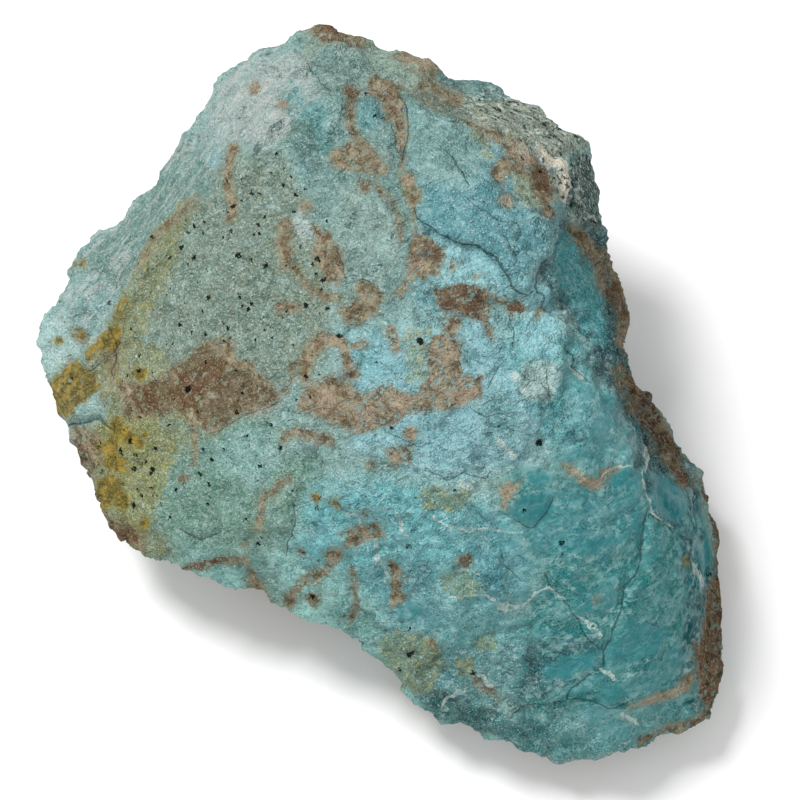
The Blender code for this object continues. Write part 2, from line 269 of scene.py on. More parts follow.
# Brown host rock on the broad face
BROWN_PATCHES = {
    "saddle": [
        (119, 383), (152, 383), (170, 374), (194, 353), (209, 344), (225, 338), (236, 346),
        (241, 360), (256, 362), (268, 378), (286, 396), (275, 402), (241, 414), (217, 432),
        (200, 429), (183, 408), (152, 416), (127, 418),
    ],
    "middle band": [
        (298, 398), (316, 386), (333, 374), (350, 385), (362, 396), (391, 387), (416, 396),
        (431, 378), (431, 338), (445, 333), (460, 345), (461, 376), (483, 376), (481, 400),
        (440, 412), (414, 409), (394, 424), (362, 433), (340, 426), (312, 414), (299, 409),
    ],
    "island": [
        (354, 283), (366, 280), (378, 284), (384, 298), (376, 310), (368, 322), (352, 325),
        (342, 314), (348, 308), (359, 303), (360, 294),
    ],
    "left of the slab": [
        (316, 232), (330, 230), (334, 242), (344, 252), (346, 270), (340, 285), (328, 280),
        (322, 266), (315, 252),
    ],
    "dark centre": [
        (433, 289), (455, 286), (466, 283), (489, 294), (493, 309), (486, 324), (463, 313),
        (445, 311), (436, 299),
    ],
    "below the dark centre": [(440, 316), (458, 314), (460, 334), (444, 336)],
    "lump": [(410, 245), (420, 234), (436, 238), (444, 255), (438, 272), (424, 280), (408, 270)],
    "tongue": [
        (368, 78), (392, 80), (402, 96), (406, 118), (408, 140), (403, 156), (395, 130),
        (384, 108), (366, 96),
    ],
    "under the tongue": [
        (333, 152), (350, 143), (372, 150), (388, 166), (384, 174), (372, 172), (355, 174),
        (335, 167),
    ],
    "crest": [
        (472, 127), (492, 133), (515, 146), (530, 160), (542, 174), (547, 190), (544, 206),
        (542, 228), (533, 220), (536, 206), (528, 192), (520, 180), (508, 178), (498, 187),
        (490, 180), (494, 168), (506, 163), (500, 152), (484, 145), (474, 136),
    ],
    "top": [(312, 34), (325, 27), (345, 34), (366, 46), (350, 54), (325, 50)],
    "right crust": [
        (709, 555), (725, 555), (725, 690), (706, 712), (693, 690), (694, 640), (703, 617),
    ],
    "left edge": [
        (74, 425), (95, 422), (106, 435), (106, 460), (95, 475), (82, 465), (76, 445),
    ],
    "low left rim": [(104, 512), (120, 515), (145, 530), (150, 553), (128, 547), (107, 527)],
    "low rim": [
        (180, 566), (196, 558), (222, 554), (246, 554), (250, 562), (226, 563), (204, 569),
        (186, 570),
    ],
    "low rim end": [(248, 568), (258, 576), (270, 588), (278, 602), (264, 599), (250, 588)],
    "small brown by the band": [(388, 450), (412, 448), (414, 460), (390, 464)],
    "low brown": [(390, 560), (402, 566), (406, 600), (392, 604)],
    "grey rim": [(346, 525), (378, 522), (384, 540), (350, 543)],
    "pink tail": [
        (499, 488), (506, 482), (519, 482), (520, 488), (512, 494), (508, 506), (503, 504),
        (505, 495),
    ],
}
BROWN_STREAKS = {
    "arch": (6, [(308, 374), (310, 350), (328, 338), (346, 343), (353, 374)]),
    "left finger": (6, [(287, 224), (284, 245), (289, 264)]),
    "left stub": (4, [(282, 307), (301, 308)]),
    "beside the disc": (5, [(352, 104), (352, 124), (360, 140), (374, 156)]),
    "below the tongue": (2, [
        (403, 156), (402, 172), (409, 184), (407, 196), (413, 208), (418, 222), (420, 236),
    ]),
    "from the lump": (3, [(412, 272), (406, 284), (400, 292)]),
    "grey line": (2, [(378, 184), (392, 206), (399, 222), (402, 240)]),
    "speckles left of the slab": (3, [(298, 268), (310, 285), (325, 296), (346, 300)]),
    "tail of the dark centre": (2, [(490, 300), (505, 304), (518, 309), (526, 310)]),
    "beige by the dark centre": (4, [(484, 318), (490, 334)]),
    "beige by the arch": (4, [(358, 346), (367, 345)]),
    "beige by the olive": (5, [(394, 330), (399, 348)]),
    "peak streak": (5, [(235, 152), (231, 174), (232, 190), (237, 207), (234, 218)]),
    "crest line": (2.5, [(398, 87), (420, 98), (445, 112), (472, 126)]),
    "far band": (4, [(424, 84), (440, 93), (458, 99)]),
    "far top": (7, [(402, 58), (416, 66), (430, 74)]),
    "side strip": (7, [(577, 230), (588, 250), (594, 264), (598, 284), (609, 298)]),
    "side rim": (8, [(609, 250), (618, 285), (626, 320), (626, 348)]),
    "side notch": (4, [(617, 370), (630, 380)]),
    "rind": (9, [(625, 380), (641, 405), (659, 430), (675, 450)]),
    "inner rind": (6, [(632, 405), (655, 441), (680, 483)]),
    "right rim": (3, [(694, 482), (706, 510), (714, 536), (712, 556)]),
    "foot edge": (4, [(640, 741), (679, 724), (706, 707)]),
    "left rim": (6, [(90, 465), (96, 490), (108, 515)]),
    "low vein": (3.5, [(288, 607), (296, 594), (306, 577), (326, 573), (338, 561), (343, 546)]),
    "short low vein": (2.5, [(354, 564), (356, 589), (358, 606), (354, 616)]),
    "flat streak": (3, [(262, 500), (272, 492), (280, 485), (290, 480)]),
    "flat streak foot": (3, [(264, 506), (262, 518), (260, 528)]),
    "under the saddle": (3, [(200, 428), (198, 445), (196, 462)]),
    "groove stain": (2, [(197, 200), (170, 236), (148, 268)]),
    "groove foot": (3, [(118, 344), (112, 362), (116, 382)]),
    "right of the saddle": (2, [(286, 392), (292, 378), (298, 364)]),
    "under the band": (4, [(284, 436), (300, 431), (318, 436), (332, 440)]),
    "notch band": (3, [(566, 466), (578, 475), (588, 482), (597, 480), (602, 473), (612, 469)]),
    "foot band": (3.5, [(628, 702), (648, 700), (668, 692), (688, 674)]),
    "foot band end": (2, [(476, 676), (488, 686), (500, 694)]),
}
BROWN_SPOTS = [
    (516, 308, 7), (540, 313, 4), (351, 96, 8), (368, 187, 6), (384, 169, 5), (410, 182, 7),
    (309, 205, 5), (319, 230, 5), (260, 90, 5), (285, 108, 5), (502, 204, 6), (541, 219, 5),
    (465, 559, 6), (436, 636, 6), (196, 205, 3), (453, 262, 5), (478, 277, 3), (294, 598, 7),
    (337, 553, 8), (314, 597, 6), (304, 552, 4), (247, 545, 3), (412, 434, 7), (320, 497, 4),
    (341, 500, 4), (285, 436, 5), (372, 466, 3), (592, 481, 6), (369, 509, 4), (594, 599, 1),
    (415, 196, 6), (186, 480, 4), (84, 338, 4),
]
PINK_SPOTS = [
    (384, 91, 9), (417, 266, 10), (520, 156, 9), (502, 204, 8), (411, 183, 7), (597, 283, 8),
    (366, 414, 12), (402, 400, 10), (462, 392, 14), (446, 352, 10), (330, 402, 12),
    (332, 340, 9), (285, 108, 8), (650, 420, 12), (510, 490, 18), (590, 480, 24), (655, 697, 30),
    (412, 434, 10), (416, 66, 14), (706, 667, 7), (344, 96, 5), (398, 140, 12),
    (620, 336, 10), (646, 404, 12), (662, 428, 12),
]
CRUST = {
    "right": [
        (618, 366), (640, 390), (668, 424), (692, 462), (712, 505), (722, 560), (728, 600),
        (728, 690), (704, 720), (690, 704), (700, 640), (704, 600), (700, 545), (688, 500),
        (664, 464), (640, 436), (622, 400),
    ],
}
DARK_SPOTS = [(165, 402, 24), (205, 372, 26), (240, 390, 24), (222, 412, 16), (270, 396, 10)]
RUST_SPOTS = [
    (192, 390, 16), (214, 372, 14), (150, 398, 14), (463, 300, 22), (540, 184, 14),
    (640, 408, 6), (666, 440, 10), (682, 476, 14), (695, 492, 12), (712, 580, 30), (708, 640, 30),
    (708, 688, 16), (430, 252, 8), (368, 187, 8), (330, 40, 14), (84, 450, 12), (128, 532, 14),
    (616, 300, 18), (516, 308, 9), (351, 96, 10), (314, 597, 8), (465, 559, 8), (388, 104, 8),
    (714, 530, 16), (320, 497, 6), (186, 480, 6), (215, 560, 12),
]

# Yellow ochre and olive
OCHRE_PATCHES = {
    "ochre corner": [
        (48, 381), (62, 376), (75, 363), (82, 361), (86, 373), (94, 369), (98, 380), (95, 387),
        (86, 401), (72, 415), (62, 418),
    ],
    "yellow low left": [
        (106, 444), (116, 436), (126, 442), (124, 456), (132, 462), (128, 472), (112, 470),
    ],
    "yellow low left, two": [(104, 476), (116, 474), (122, 490), (118, 504), (106, 500)],
    "low groove": [(92, 350), (106, 340), (118, 325), (121, 332), (110, 348), (98, 356)],
}
OCHRE_STREAKS = {
    "groove": (1, [(132, 300), (124, 318)]),
    "beside the saddle": (5, [(120, 424), (132, 436), (142, 440)]),
}
OCHRE_SPOTS = [
    (85, 266, 3), (140, 372, 5), (120, 486, 6), (130, 500, 5), (112, 500, 6), (150, 520, 3),
    (340, 498, 1), (322, 496, 1), (682, 561, 1), (62, 339, 3), (82, 334, 2),
]
OLIVE_PATCHES = {
    "above the saddle": [
        (110, 378), (116, 350), (135, 340), (160, 348), (176, 366), (150, 382), (120, 384),
    ],
    "lower left": [(100, 420), (150, 415), (175, 440), (165, 500), (140, 548), (95, 500)],
    "groove side": [
        (118, 345), (136, 295), (160, 242), (186, 204), (196, 210), (160, 290), (140, 360),
    ],
    "groove": [
        (190, 205), (196, 214), (174, 244), (150, 275), (134, 310), (116, 346), (108, 340),
        (124, 306), (146, 258), (168, 230),
    ],
    "low patch": [(384, 640), (405, 631), (440, 634), (444, 660), (430, 689), (405, 684)],
    "low patch right": [(454, 656), (475, 654), (474, 672), (458, 672)],
    "middle olive": [(408, 330), (428, 329), (428, 378), (410, 380)],
    "big spot": [(418, 492), (438, 484), (455, 488), (470, 486), (468, 500), (442, 508), (425, 502)],
    "by the dark spot": [(443, 572), (455, 566), (470, 575), (484, 584), (470, 592), (450, 586)],
    "low right spots": [(478, 640), (492, 636), (496, 646), (484, 650)],
    "crest olive": [(474, 138), (486, 148), (490, 164), (480, 160)],
    "under the tongue olive": [(405, 185), (420, 190), (426, 204), (414, 212), (406, 202)],
}

# White and beige veins, and pale flakes
VEINS = {
    "upper": (1.3, [(436, 514), (446, 520), (469, 530), (480, 531), (517, 527)]),
    "lower": (1.3, [
        (455, 590), (489, 593), (500, 600), (512, 606), (526, 602), (533, 589), (547, 584),
        (563, 594),
    ]),
    "lower, wide part": (3.4, [(501, 602), (510, 607), (519, 605)]),
    "left": (2.2, [(376, 543), (381, 563), (386, 583)]),
    "right": (1.6, [(690, 562), (698, 587)]),
    "band": (1.2, [(602, 474), (612, 468), (630, 467)]),
    "ridge": (0.9, [(636, 436), (643, 468), (644, 494), (650, 512), (664, 524)]),
    "crumb": (3.6, [(462, 481), (471, 484)]),
    "flake": (4.0, [(514, 372), (524, 388)]),
    "flake two": (3.0, [(570, 364), (581, 377)]),
    "flake three": (2.0, [(546, 387), (552, 391)]),
    "white rim": (2.4, [(622, 713), (634, 719)]),
    "low streak": (2.6, [(484, 672), (493, 684)]),
    "low streak two": (1.6, [(446, 700), (456, 690), (466, 684)]),
    "small hook": (1.4, [(352, 508), (361, 512), (359, 521)]),
    "beige stroke": (1.6, [(398, 512), (402, 524), (408, 532)]),
    "wall hatch": (1.2, [(580, 616), (594, 621), (600, 630)]),
    "wall hatch two": (1.0, [(590, 624), (597, 634)]),
    "wall foot": (2.4, [(604, 668), (612, 674)]),
    "small flake": (2.0, [(461, 568), (478, 570)]),
    "upper twig": (1.0, [(468, 462), (482, 464), (496, 470)]),
    "upper flake": (3.0, [(503, 440), (512, 452)]),
}

# Lines that both a crack and a step in the surface follow
LEDGE_LINE = [
    (420, 219), (432, 222), (446, 234), (463, 244), (478, 246), (487, 253), (495, 257),
    (501, 270), (513, 289), (526, 296),
]
SLAB_EDGE_LINE = [
    (548, 153), (561, 164), (567, 178), (565, 196), (556, 221), (552, 243), (538, 266),
    (531, 289),
]
LOW_LEFT_LINE = [(295, 503), (296, 523), (290, 539), (286, 556)]

# Cracks and the foot of each ledge: half width and line. Their dark lines are real cracks, and at the
# foot of each ledge painted shade
CRACKS = {
    "ledge": (1.0, [(415, 210)] + LEDGE_LINE),
    "above the ledge": (0.6, [(468, 203), (478, 211), (487, 216), (494, 222), (500, 224)]),
    "slab bend": (0.6, [(506, 224), (514, 225), (518, 233), (514, 243)]),
    "slab fork": (0.6, [(504, 241), (508, 250), (513, 258), (511, 266)]),
    "slab nick": (0.5, [(506, 270), (512, 274), (521, 279)]),
    "slab pit": (0.8, [(447, 156), (453, 163), (456, 170), (464, 176), (468, 184)]),
    "slab top": (0.5, [(448, 126), (458, 124), (464, 130), (462, 138)]),
    "crest line": (0.7, [(394, 82), (412, 95), (432, 106), (452, 116), (472, 128), (492, 137)]),
    "tongue edge": (0.7, [(401, 100), (407, 112), (409, 128), (408, 142), (402, 156)]),
    "tongue side": (0.5, [(386, 118), (392, 130), (397, 146), (402, 158), (412, 170), (419, 173)]),
    "island rim": (0.5, [(346, 284), (354, 281), (362, 279), (371, 280), (375, 290), (384, 293)]),
    "left rim of the slab": (0.5, [(338, 251), (343, 259), (344, 270), (349, 282)]),
    "disc rim": (0.4, [(355, 108), (352, 120), (358, 132), (368, 140)]),
    "band foot": (0.5, [(285, 410), (306, 414), (322, 408), (340, 412)]),
    "saddle foot": (0.5, [(217, 432), (236, 420), (256, 412), (280, 402)]),
    "low chip": (0.6, [(388, 432), (404, 440), (420, 446), (434, 440)]),
    "low chip, two": (0.6, [(430, 470), (448, 478), (462, 470), (484, 476)]),
    "right nick": (0.6, [(560, 340), (572, 356), (578, 372), (590, 384)]),
    "right nick, two": (0.5, [(470, 410), (486, 418), (500, 414), (516, 420)]),
    "slab edge": (0.8, SLAB_EDGE_LINE + [(549, 313), (572, 328)]),
    "groove": (0.5, [(114, 330), (112, 345), (111, 365), (113, 381)]),
    "peak crease": (0.6, [(308, 65), (319, 80), (328, 92)]),
    "short one": (0.6, [(512, 318), (515, 330), (513, 343)]),
    "short two": (0.6, [(543, 372), (549, 396)]),
    "short three": (0.6, [(499, 366), (490, 389)]),
    "short four": (0.5, [(473, 357), (486, 364)]),
    "wall": (0.9, [
        (646, 511), (643, 531), (640, 559), (633, 576), (623, 587), (620, 606), (611, 635),
        (604, 651), (604, 664),
    ]),
    "wall branch": (0.7, [
        (544, 574), (550, 585), (563, 594), (572, 608), (579, 620), (586, 634), (603, 651),
    ]),
    "wall top": (0.7, [(646, 511), (663, 523), (671, 538)]),
    "bow": (0.6, [(504, 512), (518, 520), (533, 527), (546, 514), (553, 498)]),
    "bow foot": (0.5, [(501, 546), (504, 560), (518, 574)]),
    "foot": (0.9, [
        (592, 672), (579, 683), (569, 691), (568, 701), (592, 702), (607, 706), (625, 695),
    ]),
    "low left": (0.7, LOW_LEFT_LINE),
    "lower arc": (0.6, [(185, 530), (202, 538), (221, 531)]),
    "arch lobe": (1.0, [(68, 426), (84, 420), (104, 418), (119, 430)]),
    "rim foot": (0.7, [(516, 708), (540, 700), (566, 702)]),
}

# Black specks: place and radius
SPECKS = [
    (183, 247, 3), (163, 243, 2), (197, 258, 3), (170, 257, 2), (190, 233, 2), (181, 326, 2),
    (132, 329, 2), (209, 334, 2), (141, 370, 2), (211, 298, 3), (114, 303, 2), (192, 389, 4),
    (75, 378, 2), (135, 440, 3), (141, 452, 2), (128, 454, 2), (138, 468, 3), (157, 468, 3),
    (154, 473, 2), (156, 487, 2), (106, 471, 2), (98, 465, 2), (103, 446, 2), (137, 504, 3),
    (105, 495, 2), (126, 482, 2), (141, 488, 2), (174, 516, 2), (172, 424, 2), (211, 502, 2),
    (236, 207, 3), (235, 232, 2), (257, 235, 2), (243, 256, 3), (254, 260, 2), (268, 266, 3),
    (288, 265, 2), (296, 268, 2), (320, 260, 3), (319, 275, 2), (326, 281, 3), (323, 290, 2),
    (309, 306, 3), (289, 311, 2), (331, 309, 2), (344, 336, 3), (212, 299, 2), (242, 295, 2),
    (245, 306, 2), (253, 303, 2), (226, 323, 2), (208, 333, 2), (309, 377, 3), (422, 342, 4),
    (283, 447, 3), (249, 435, 2), (273, 425, 2), (377, 362, 2), (393, 428, 2), (453, 405, 2),
    (375, 119, 2), (365, 100, 2), (299, 191, 2), (246, 179, 2), (278, 156, 2), (546, 254, 2),
    (561, 541, 3), (561, 552, 2), (704, 574, 2), (524, 510, 2), (561, 438, 2), (499, 426, 2),
    (390, 567, 2), (412, 652, 3), (405, 664, 2), (416, 496, 2), (456, 487, 2), (474, 670, 3),
    (411, 626, 2), (408, 545, 2), (323, 496, 2), (321, 505, 2), (342, 500, 2), (313, 596, 3),
    (304, 552, 2), (188, 482, 2), (540, 442, 4),
]

# Where the stone is granular, and where it is smooth and glassy
GRANULAR = {
    "flat": [
        (230, 160), (290, 160), (340, 220), (350, 300), (310, 420), (300, 500), (260, 560),
        (130, 530), (90, 450), (120, 360), (150, 260),
    ],
    "grey block": [(455, 100), (500, 90), (590, 140), (606, 225), (570, 220), (500, 160)],
}
GLASSY = {
    "lower right": [
        (500, 470), (560, 440), (640, 460), (700, 490), (722, 600), (700, 700), (610, 735),
        (550, 690), (520, 610), (500, 540),
    ],
    "right shoulder": [(570, 370), (612, 390), (645, 470), (600, 470), (570, 430)],
    "low band": [(395, 600), (430, 598), (432, 616), (396, 618)],
}
CALM = {
    "slab": [
        (405, 100), (450, 110), (500, 190), (545, 225), (540, 290), (505, 275), (480, 245),
        (435, 220), (412, 190),
    ],
    "left slope": [(45, 340), (110, 215), (220, 80), (300, 40), (290, 110), (200, 190), (110, 340)],
    "far slope": [(330, 25), (480, 70), (600, 150), (580, 170), (470, 120), (380, 80)],
}
DEEP_PATCHES = {
    "left lens": [(528, 474), (545, 471), (548, 480), (538, 487), (527, 484)],
    "bowl": [
        (505, 512), (518, 500), (530, 491), (548, 489), (556, 499), (550, 514), (536, 526),
        (520, 521),
    ],
    "right lens": [(607, 478), (618, 470), (640, 469), (643, 482), (630, 488), (614, 487)],
    "behind the ridge": [
        (646, 473), (665, 477), (682, 491), (684, 514), (672, 524), (655, 514), (648, 500),
    ],
    "long lens": [
        (567, 553), (585, 540), (610, 532), (638, 527), (630, 538), (605, 546), (585, 554),
    ],
    "right of the wall": [
        (612, 650), (622, 630), (640, 621), (660, 624), (664, 640), (644, 652), (625, 656),
    ],
    "left of the wall": [
        (544, 669), (560, 655), (580, 649), (600, 655), (592, 668), (570, 676), (552, 676),
    ],
    "right edge": [(690, 545), (703, 538), (708, 558), (700, 572), (690, 562)],
    "foot crease": [(662, 694), (676, 684), (692, 672), (696, 680), (680, 694), (668, 700)],
    "shoulder": [(598, 392), (610, 396), (620, 424), (612, 432), (600, 414)],
    "low spot": [(408, 602), (424, 603), (430, 610), (414, 614)],
    "wall top": [(634, 512), (644, 508), (645, 530), (640, 552), (634, 548)],
}

# Relief of the fine surface: its size and height
PLATES = {8.0: 2.2, 4.0: 1.5, 2.2: 0.8}
TERRACE_SIZE, TERRACE_COUNT, TERRACE_DROP = 9.0, 5.0, 0.5
SWELL_SIZE, SWELL_HEIGHT = 5.0, 0.3
GRAIN_SIZE, GRAIN_HEIGHT = 1.6, 0.22
CRAG_SIZE, CRAG_HEIGHT = 4.5, 0.28
CRACK_DEPTH, CRACK_WIDTH = 0.5, 0.45
ROCK_DEPTH = 0.12  # the host rock lies this much lower than the turquoise
STEP_WIDTH = 0.35  # to either side of a step's line
STEP_END = 25.0  # pixels over which a step dies out towards its ends
FOOT_CUT = 0.3  # what is taken off the foot to leave it flat
LIFT = 0.46  # makes up for what the voxels and the smoothing take off
BOX_EASE = 0.4  # the relief is eased in over this near the sides of the solid's box
# Steps in the surface: the drop across a line to its right, the width that it dies out over
STEPS = {
    "ledge": (2.0, 4.0, [(408, 200)] + LEDGE_LINE),
    "slab edge": (-1.6, 4.0, SLAB_EDGE_LINE),
    "shoulder": (-0.8, 3.0, [
        (531, 292), (549, 313), (572, 328), (587, 362), (604, 409), (625, 440), (646, 511),
    ]),
    "crest": (-1.2, 3.0, [
        (388, 78), (412, 95), (432, 106), (452, 116), (472, 128), (510, 142), (545, 156),
    ]),
    "groove": (-1.8, 3.0, [
        (190, 212), (144, 292), (130, 315), (117, 325), (112, 340), (110, 365), (113, 381),
    ]),
    "middle": (0.8, 3.0, [(500, 366), (488, 392), (500, 420), (540, 440), (560, 462)]),
    "low middle": (0.8, 3.0, [(300, 430), (360, 455), (420, 470), (450, 500), (440, 540)]),
    "wall": (0.9, 3.0, [
        (646, 511), (643, 531), (640, 559), (623, 587), (611, 635), (604, 664),
    ]),
    "foot": (1.0, 3.0, [
        (500, 705), (545, 702), (592, 690), (607, 706), (650, 700), (700, 690),
    ]),
    "left lobe": (-1.4, 2.5, [(66, 424), (84, 420), (104, 418), (119, 430)]),
    "low left": (0.8, 2.5, LOW_LEFT_LINE),
    "under the peak": (0.8, 2.5, [(290, 90), (310, 120), (330, 150), (334, 190)]),
    "top chips": (0.9, 3.0, [(400, 95), (410, 140), (420, 175), (418, 205)]),
}
# Places near the outline that are moved out or in: how far, over how many pixels, and where
PUSHES = {
    "foot of the left": (-1.0, 50, (262, 606)),
    "foot of the middle": (-0.7, 30, (318, 632)),
    "foot on the right": (-1.1, 30, (646, 754)),
    "left notch": (0.4, 18, (60, 402)),
    "left tip": (-1.0, 16, (38, 364)),
    "block corner": (1.2, 20, (582, 148)),
    "block side": (-0.2, 14, (602, 207)),
    "far side": (0.7, 26, (488, 84)),
    "far corner": (-0.3, 24, (550, 116)),
    "right wall": (0.2, 30, (714, 550)),
    "right crust": (-0.4, 18, (720, 640)),
    "crust foot": (0.8, 20, (684, 724)),
    "foot on the left": (-0.7, 22, (551, 762)),
    "foot notch": (0.3, 20, (500, 735)),
    "foot bulge": (-0.9, 16, (458, 723)),
    "left foot bulge": (-0.6, 14, (317, 627)),
    "left foot bulge, two": (-0.5, 20, (240, 592)),
    "rind notch": (-0.8, 16, (640, 374)),
    "left foot bulge, three": (-0.6, 12, (340, 637)),
    "foot bulge, two": (-0.4, 14, (423, 714)),
    "low right bulge": (-0.4, 14, (721, 696)),
    "low right": (0.4, 18, (714, 587)),
    "left slope": (-0.7, 34, (146, 182)),
    "left of the tip": (-0.5, 16, (100, 232)),
    "top": (-0.6, 20, (389, 45)),
    "low left": (0.2, 22, (364, 645)),
    "side bulge": (-0.6, 14, (630, 296)),
    "rind bulge": (-0.5, 16, (675, 428)),
    "below the peak": (0.6, 18, (188, 124)),
    "lobe bulge": (-0.4, 12, (66, 434)),
}
# The directions that the pale strip's streaks, the flakes and the black specks run in
STRIP_RUN = (0.65, 0.69, 0.32)
FLAKE_RUN = (0.9, 0.39, 0.18)
SPECK_RUN = (0.5, -0.78, -0.37)

# The noise that the hidden sides' marks and every mark's wandering edge come from: its sizes
BLOTCH_SIZE, PATCH_SIZE, SHADE_SIZE = 13.0, 6.0, 18.0
WANDER_SIZE, WANDER_DETAIL = 5.0, 1.6
# How far apart the three noises of a drift are read, so that they don't follow each other
DRIFT_SHIFTS = [Vector((0.0, 0.0, 0.0)), Vector((31.4, 17.9, 5.3)), Vector((-12.7, 41.1, 23.6))]

# Fields that only the relief reads
RELIEF_FIELDS = ("seen", "calm")

FAR = 99.0  # a depth or distance that stands for none


def linear(hex_colour):
    """A colour written as sRGB hex, as the linear numbers that shaders take."""
    parts = [int(hex_colour[i:i + 2], 16) / 255 for i in (1, 3, 5)]
    return tuple(c / 12.92 if c <= 0.04045 else ((c + 0.055) / 1.055) ** 2.4 for c in parts)


def ease(value, low, high):
    """0 below low, 1 above high, and smooth between them."""
    share = np.clip((value - low) / (high - low), 0.0, 1.0)
    return share * share * (3.0 - 2.0 * share)


def sample(places, size, pattern):
    """A noise pattern of this size at each place."""
    return np.array([pattern(Vector(place)) for place in places / size])


def drift(place):
    """A noise vector that is the same on each run, from three single noises."""
    return Vector([noise.noise(place + shift) for shift in DRIFT_SHIFTS])


def in_photo(places):
    """Where the photograph's eye sees each place, in pixels."""
    offset = places - np.array(PHOTO_CENTRE)
    along_up = offset[:, 1] * math.sin(EYE_RISE) + offset[:, 2] * math.cos(EYE_RISE)
    towards = offset @ np.array(TO_EYE)
    scale = 1.0 / ((1.0 - towards / EYE_DISTANCE) * PIXEL)
    middle = PHOTO_SIDE / 2
    return np.stack([middle + offset[:, 0] * scale, middle - along_up * scale], axis=1)


def to_segment(seen, start, end):
    """Each seen point's distance to a segment, and its signed distance to the segment's line."""
    start, end = np.array(start, float), np.array(end, float)
    along = end - start
    share = np.clip((seen - start) @ along / (along @ along), 0.0, 1.0)
    away = seen - start - share[:, None] * along
    distance = np.hypot(away[:, 0], away[:, 1])
    side = np.sign(along[0] * away[:, 1] - along[1] * away[:, 0])
    return distance, distance * side


def line_distance(seen, line):
    """The distance to a line of several points, and the same with the sign of its side."""
    nearest = np.full(len(seen), FAR)
    signed = np.full(len(seen), FAR)
    for start, end in zip(line, line[1:]):
        distance, side = to_segment(seen, start, end)
        closer = distance < nearest
        nearest = np.where(closer, distance, nearest)
        signed = np.where(closer, side, signed)
    return nearest, signed


def inside(seen, outline):
    """How deep each seen point lies inside an outline; negative outside it."""
    nearest, _ = line_distance(seen, outline + outline[:1])
    within = np.zeros(len(seen), bool)
    for (ax, ay), (bx, by) in zip(outline, outline[1:] + outline[:1]):
        if ay == by:
            continue
        crosses = (ay > seen[:, 1]) != (by > seen[:, 1])
        within ^= crosses & (seen[:, 0] < ax + (seen[:, 1] - ay) * (bx - ax) / (by - ay))
    return np.where(within, nearest, -nearest)


def mark_depth(seen, patches=(), streaks=(), spots=()):
    """How deep each seen point lies inside any of these marks; negative outside them all."""
    depth = np.full(len(seen), -FAR)
    for outline in patches:
        depth = np.maximum(depth, inside(seen, outline))
    for half_width, line in streaks:
        depth = np.maximum(depth, half_width - line_distance(seen, line)[0])
    for x, y, radius in spots:
        depth = np.maximum(depth, radius - np.hypot(seen[:, 0] - x, seen[:, 1] - y))
    return depth


def nearest_line(seen, lines):
    """The signed distance to the nearest of these lines, and its half width."""
    nearest = np.full(len(seen), FAR)
    signed = np.full(len(seen), FAR)
    width = np.zeros(len(seen))
    for half_width, line in lines:
        distance, side = line_distance(seen, line)
        closer = distance < nearest
        nearest = np.where(closer, distance, nearest)
        signed = np.where(closer, side, signed)
        width = np.where(closer, half_width, width)
    return nearest, signed, width


def fine_mesh():
    """The solid's mesh, remade of small even faces."""
    bm = bmesh.new()
    bm.from_mesh(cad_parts[NODE].data)
    bmesh.ops.remove_doubles(bm, verts=bm.verts, dist=1e-6)
    bmesh.ops.scale(bm, vec=(1 / MM,) * 3, verts=bm.verts)
    coarse = bpy.data.meshes.new("coarse_stone")
    bm.to_mesh(coarse)
    bm.free()
    stone = bpy.data.objects.new("coarse_stone", coarse)
    bpy.context.scene.collection.objects.link(stone)
    remesh = stone.modifiers.new("even faces", "REMESH")
    remesh.mode = "VOXEL"
    remesh.voxel_size = VOXEL
    evaluated = stone.evaluated_get(bpy.context.evaluated_depsgraph_get())
    mesh = bpy.data.meshes.new_from_object(evaluated)
    bpy.data.objects.remove(stone)
    return mesh


def read_mesh(mesh):
    """Its places and normals, as arrays."""
    places = np.empty(len(mesh.vertices) * 3, np.float32)
    mesh.vertices.foreach_get("co", places)
    normals = np.empty(len(mesh.vertices) * 3, np.float32)
    mesh.vertex_normals.foreach_get("vector", normals)
    return places.reshape(-1, 3).astype(float), normals.reshape(-1, 3).astype(float)


def smooth(mesh, passes, share=0.5):
    """Evens out the mesh, each vertex by this share of the way to its neighbours' middle."""
    bm = bmesh.new()
    bm.from_mesh(mesh)
    for _ in range(passes):
        bmesh.ops.smooth_vert(
            bm, verts=bm.verts, factor=share, use_axis_x=True, use_axis_y=True, use_axis_z=True
        )
    bm.to_mesh(mesh)
    bm.free()


def plates(place, lean):
    """Small fracture planes that lean each their own way and meet in steps."""
    bent = place + drift(place * 2.0) * 0.25
    middle = noise.voronoi(bent)[1][0]
    return (bent - middle).dot(drift(middle * 4.7)) * lean


def steps(seen):
    """The height that the steps add at each seen point."""
    height = np.zeros(len(seen))
    for drop, reach, points in STEPS.values():
        distance, signed = line_distance(seen, points)
        side = -np.clip(signed * PIXEL / STEP_WIDTH, -1.0, 1.0)
        ends = ease(np.hypot(*(seen - points[0]).T), 0.0, STEP_END)
        ends *= ease(np.hypot(*(seen - points[-1]).T), 0.0, STEP_END)
        height += side * ends * 0.5 * drop * np.exp(-distance * PIXEL / reach)
    return height


def pushes(seen):
    """How far each seen point is moved out near the outline."""
    height = np.zeros(len(seen))
    for push, reach, (x, y) in PUSHES.values():
        height += push * np.exp(-((seen[:, 0] - x) ** 2 + (seen[:, 1] - y) ** 2) / reach ** 2)
    return height


def terraces(places):
    """Flat treads between short sharp drops, as the stone's flakes leave them."""
    level = sample(places, TERRACE_SIZE, lambda place: noise.fractal(place, 0.9, 2.1, 4))
    level *= TERRACE_COUNT
    tread = np.floor(level)
    return (tread + ease(level - tread, 0.72, 1.0) - level * 0.6) * TERRACE_DROP


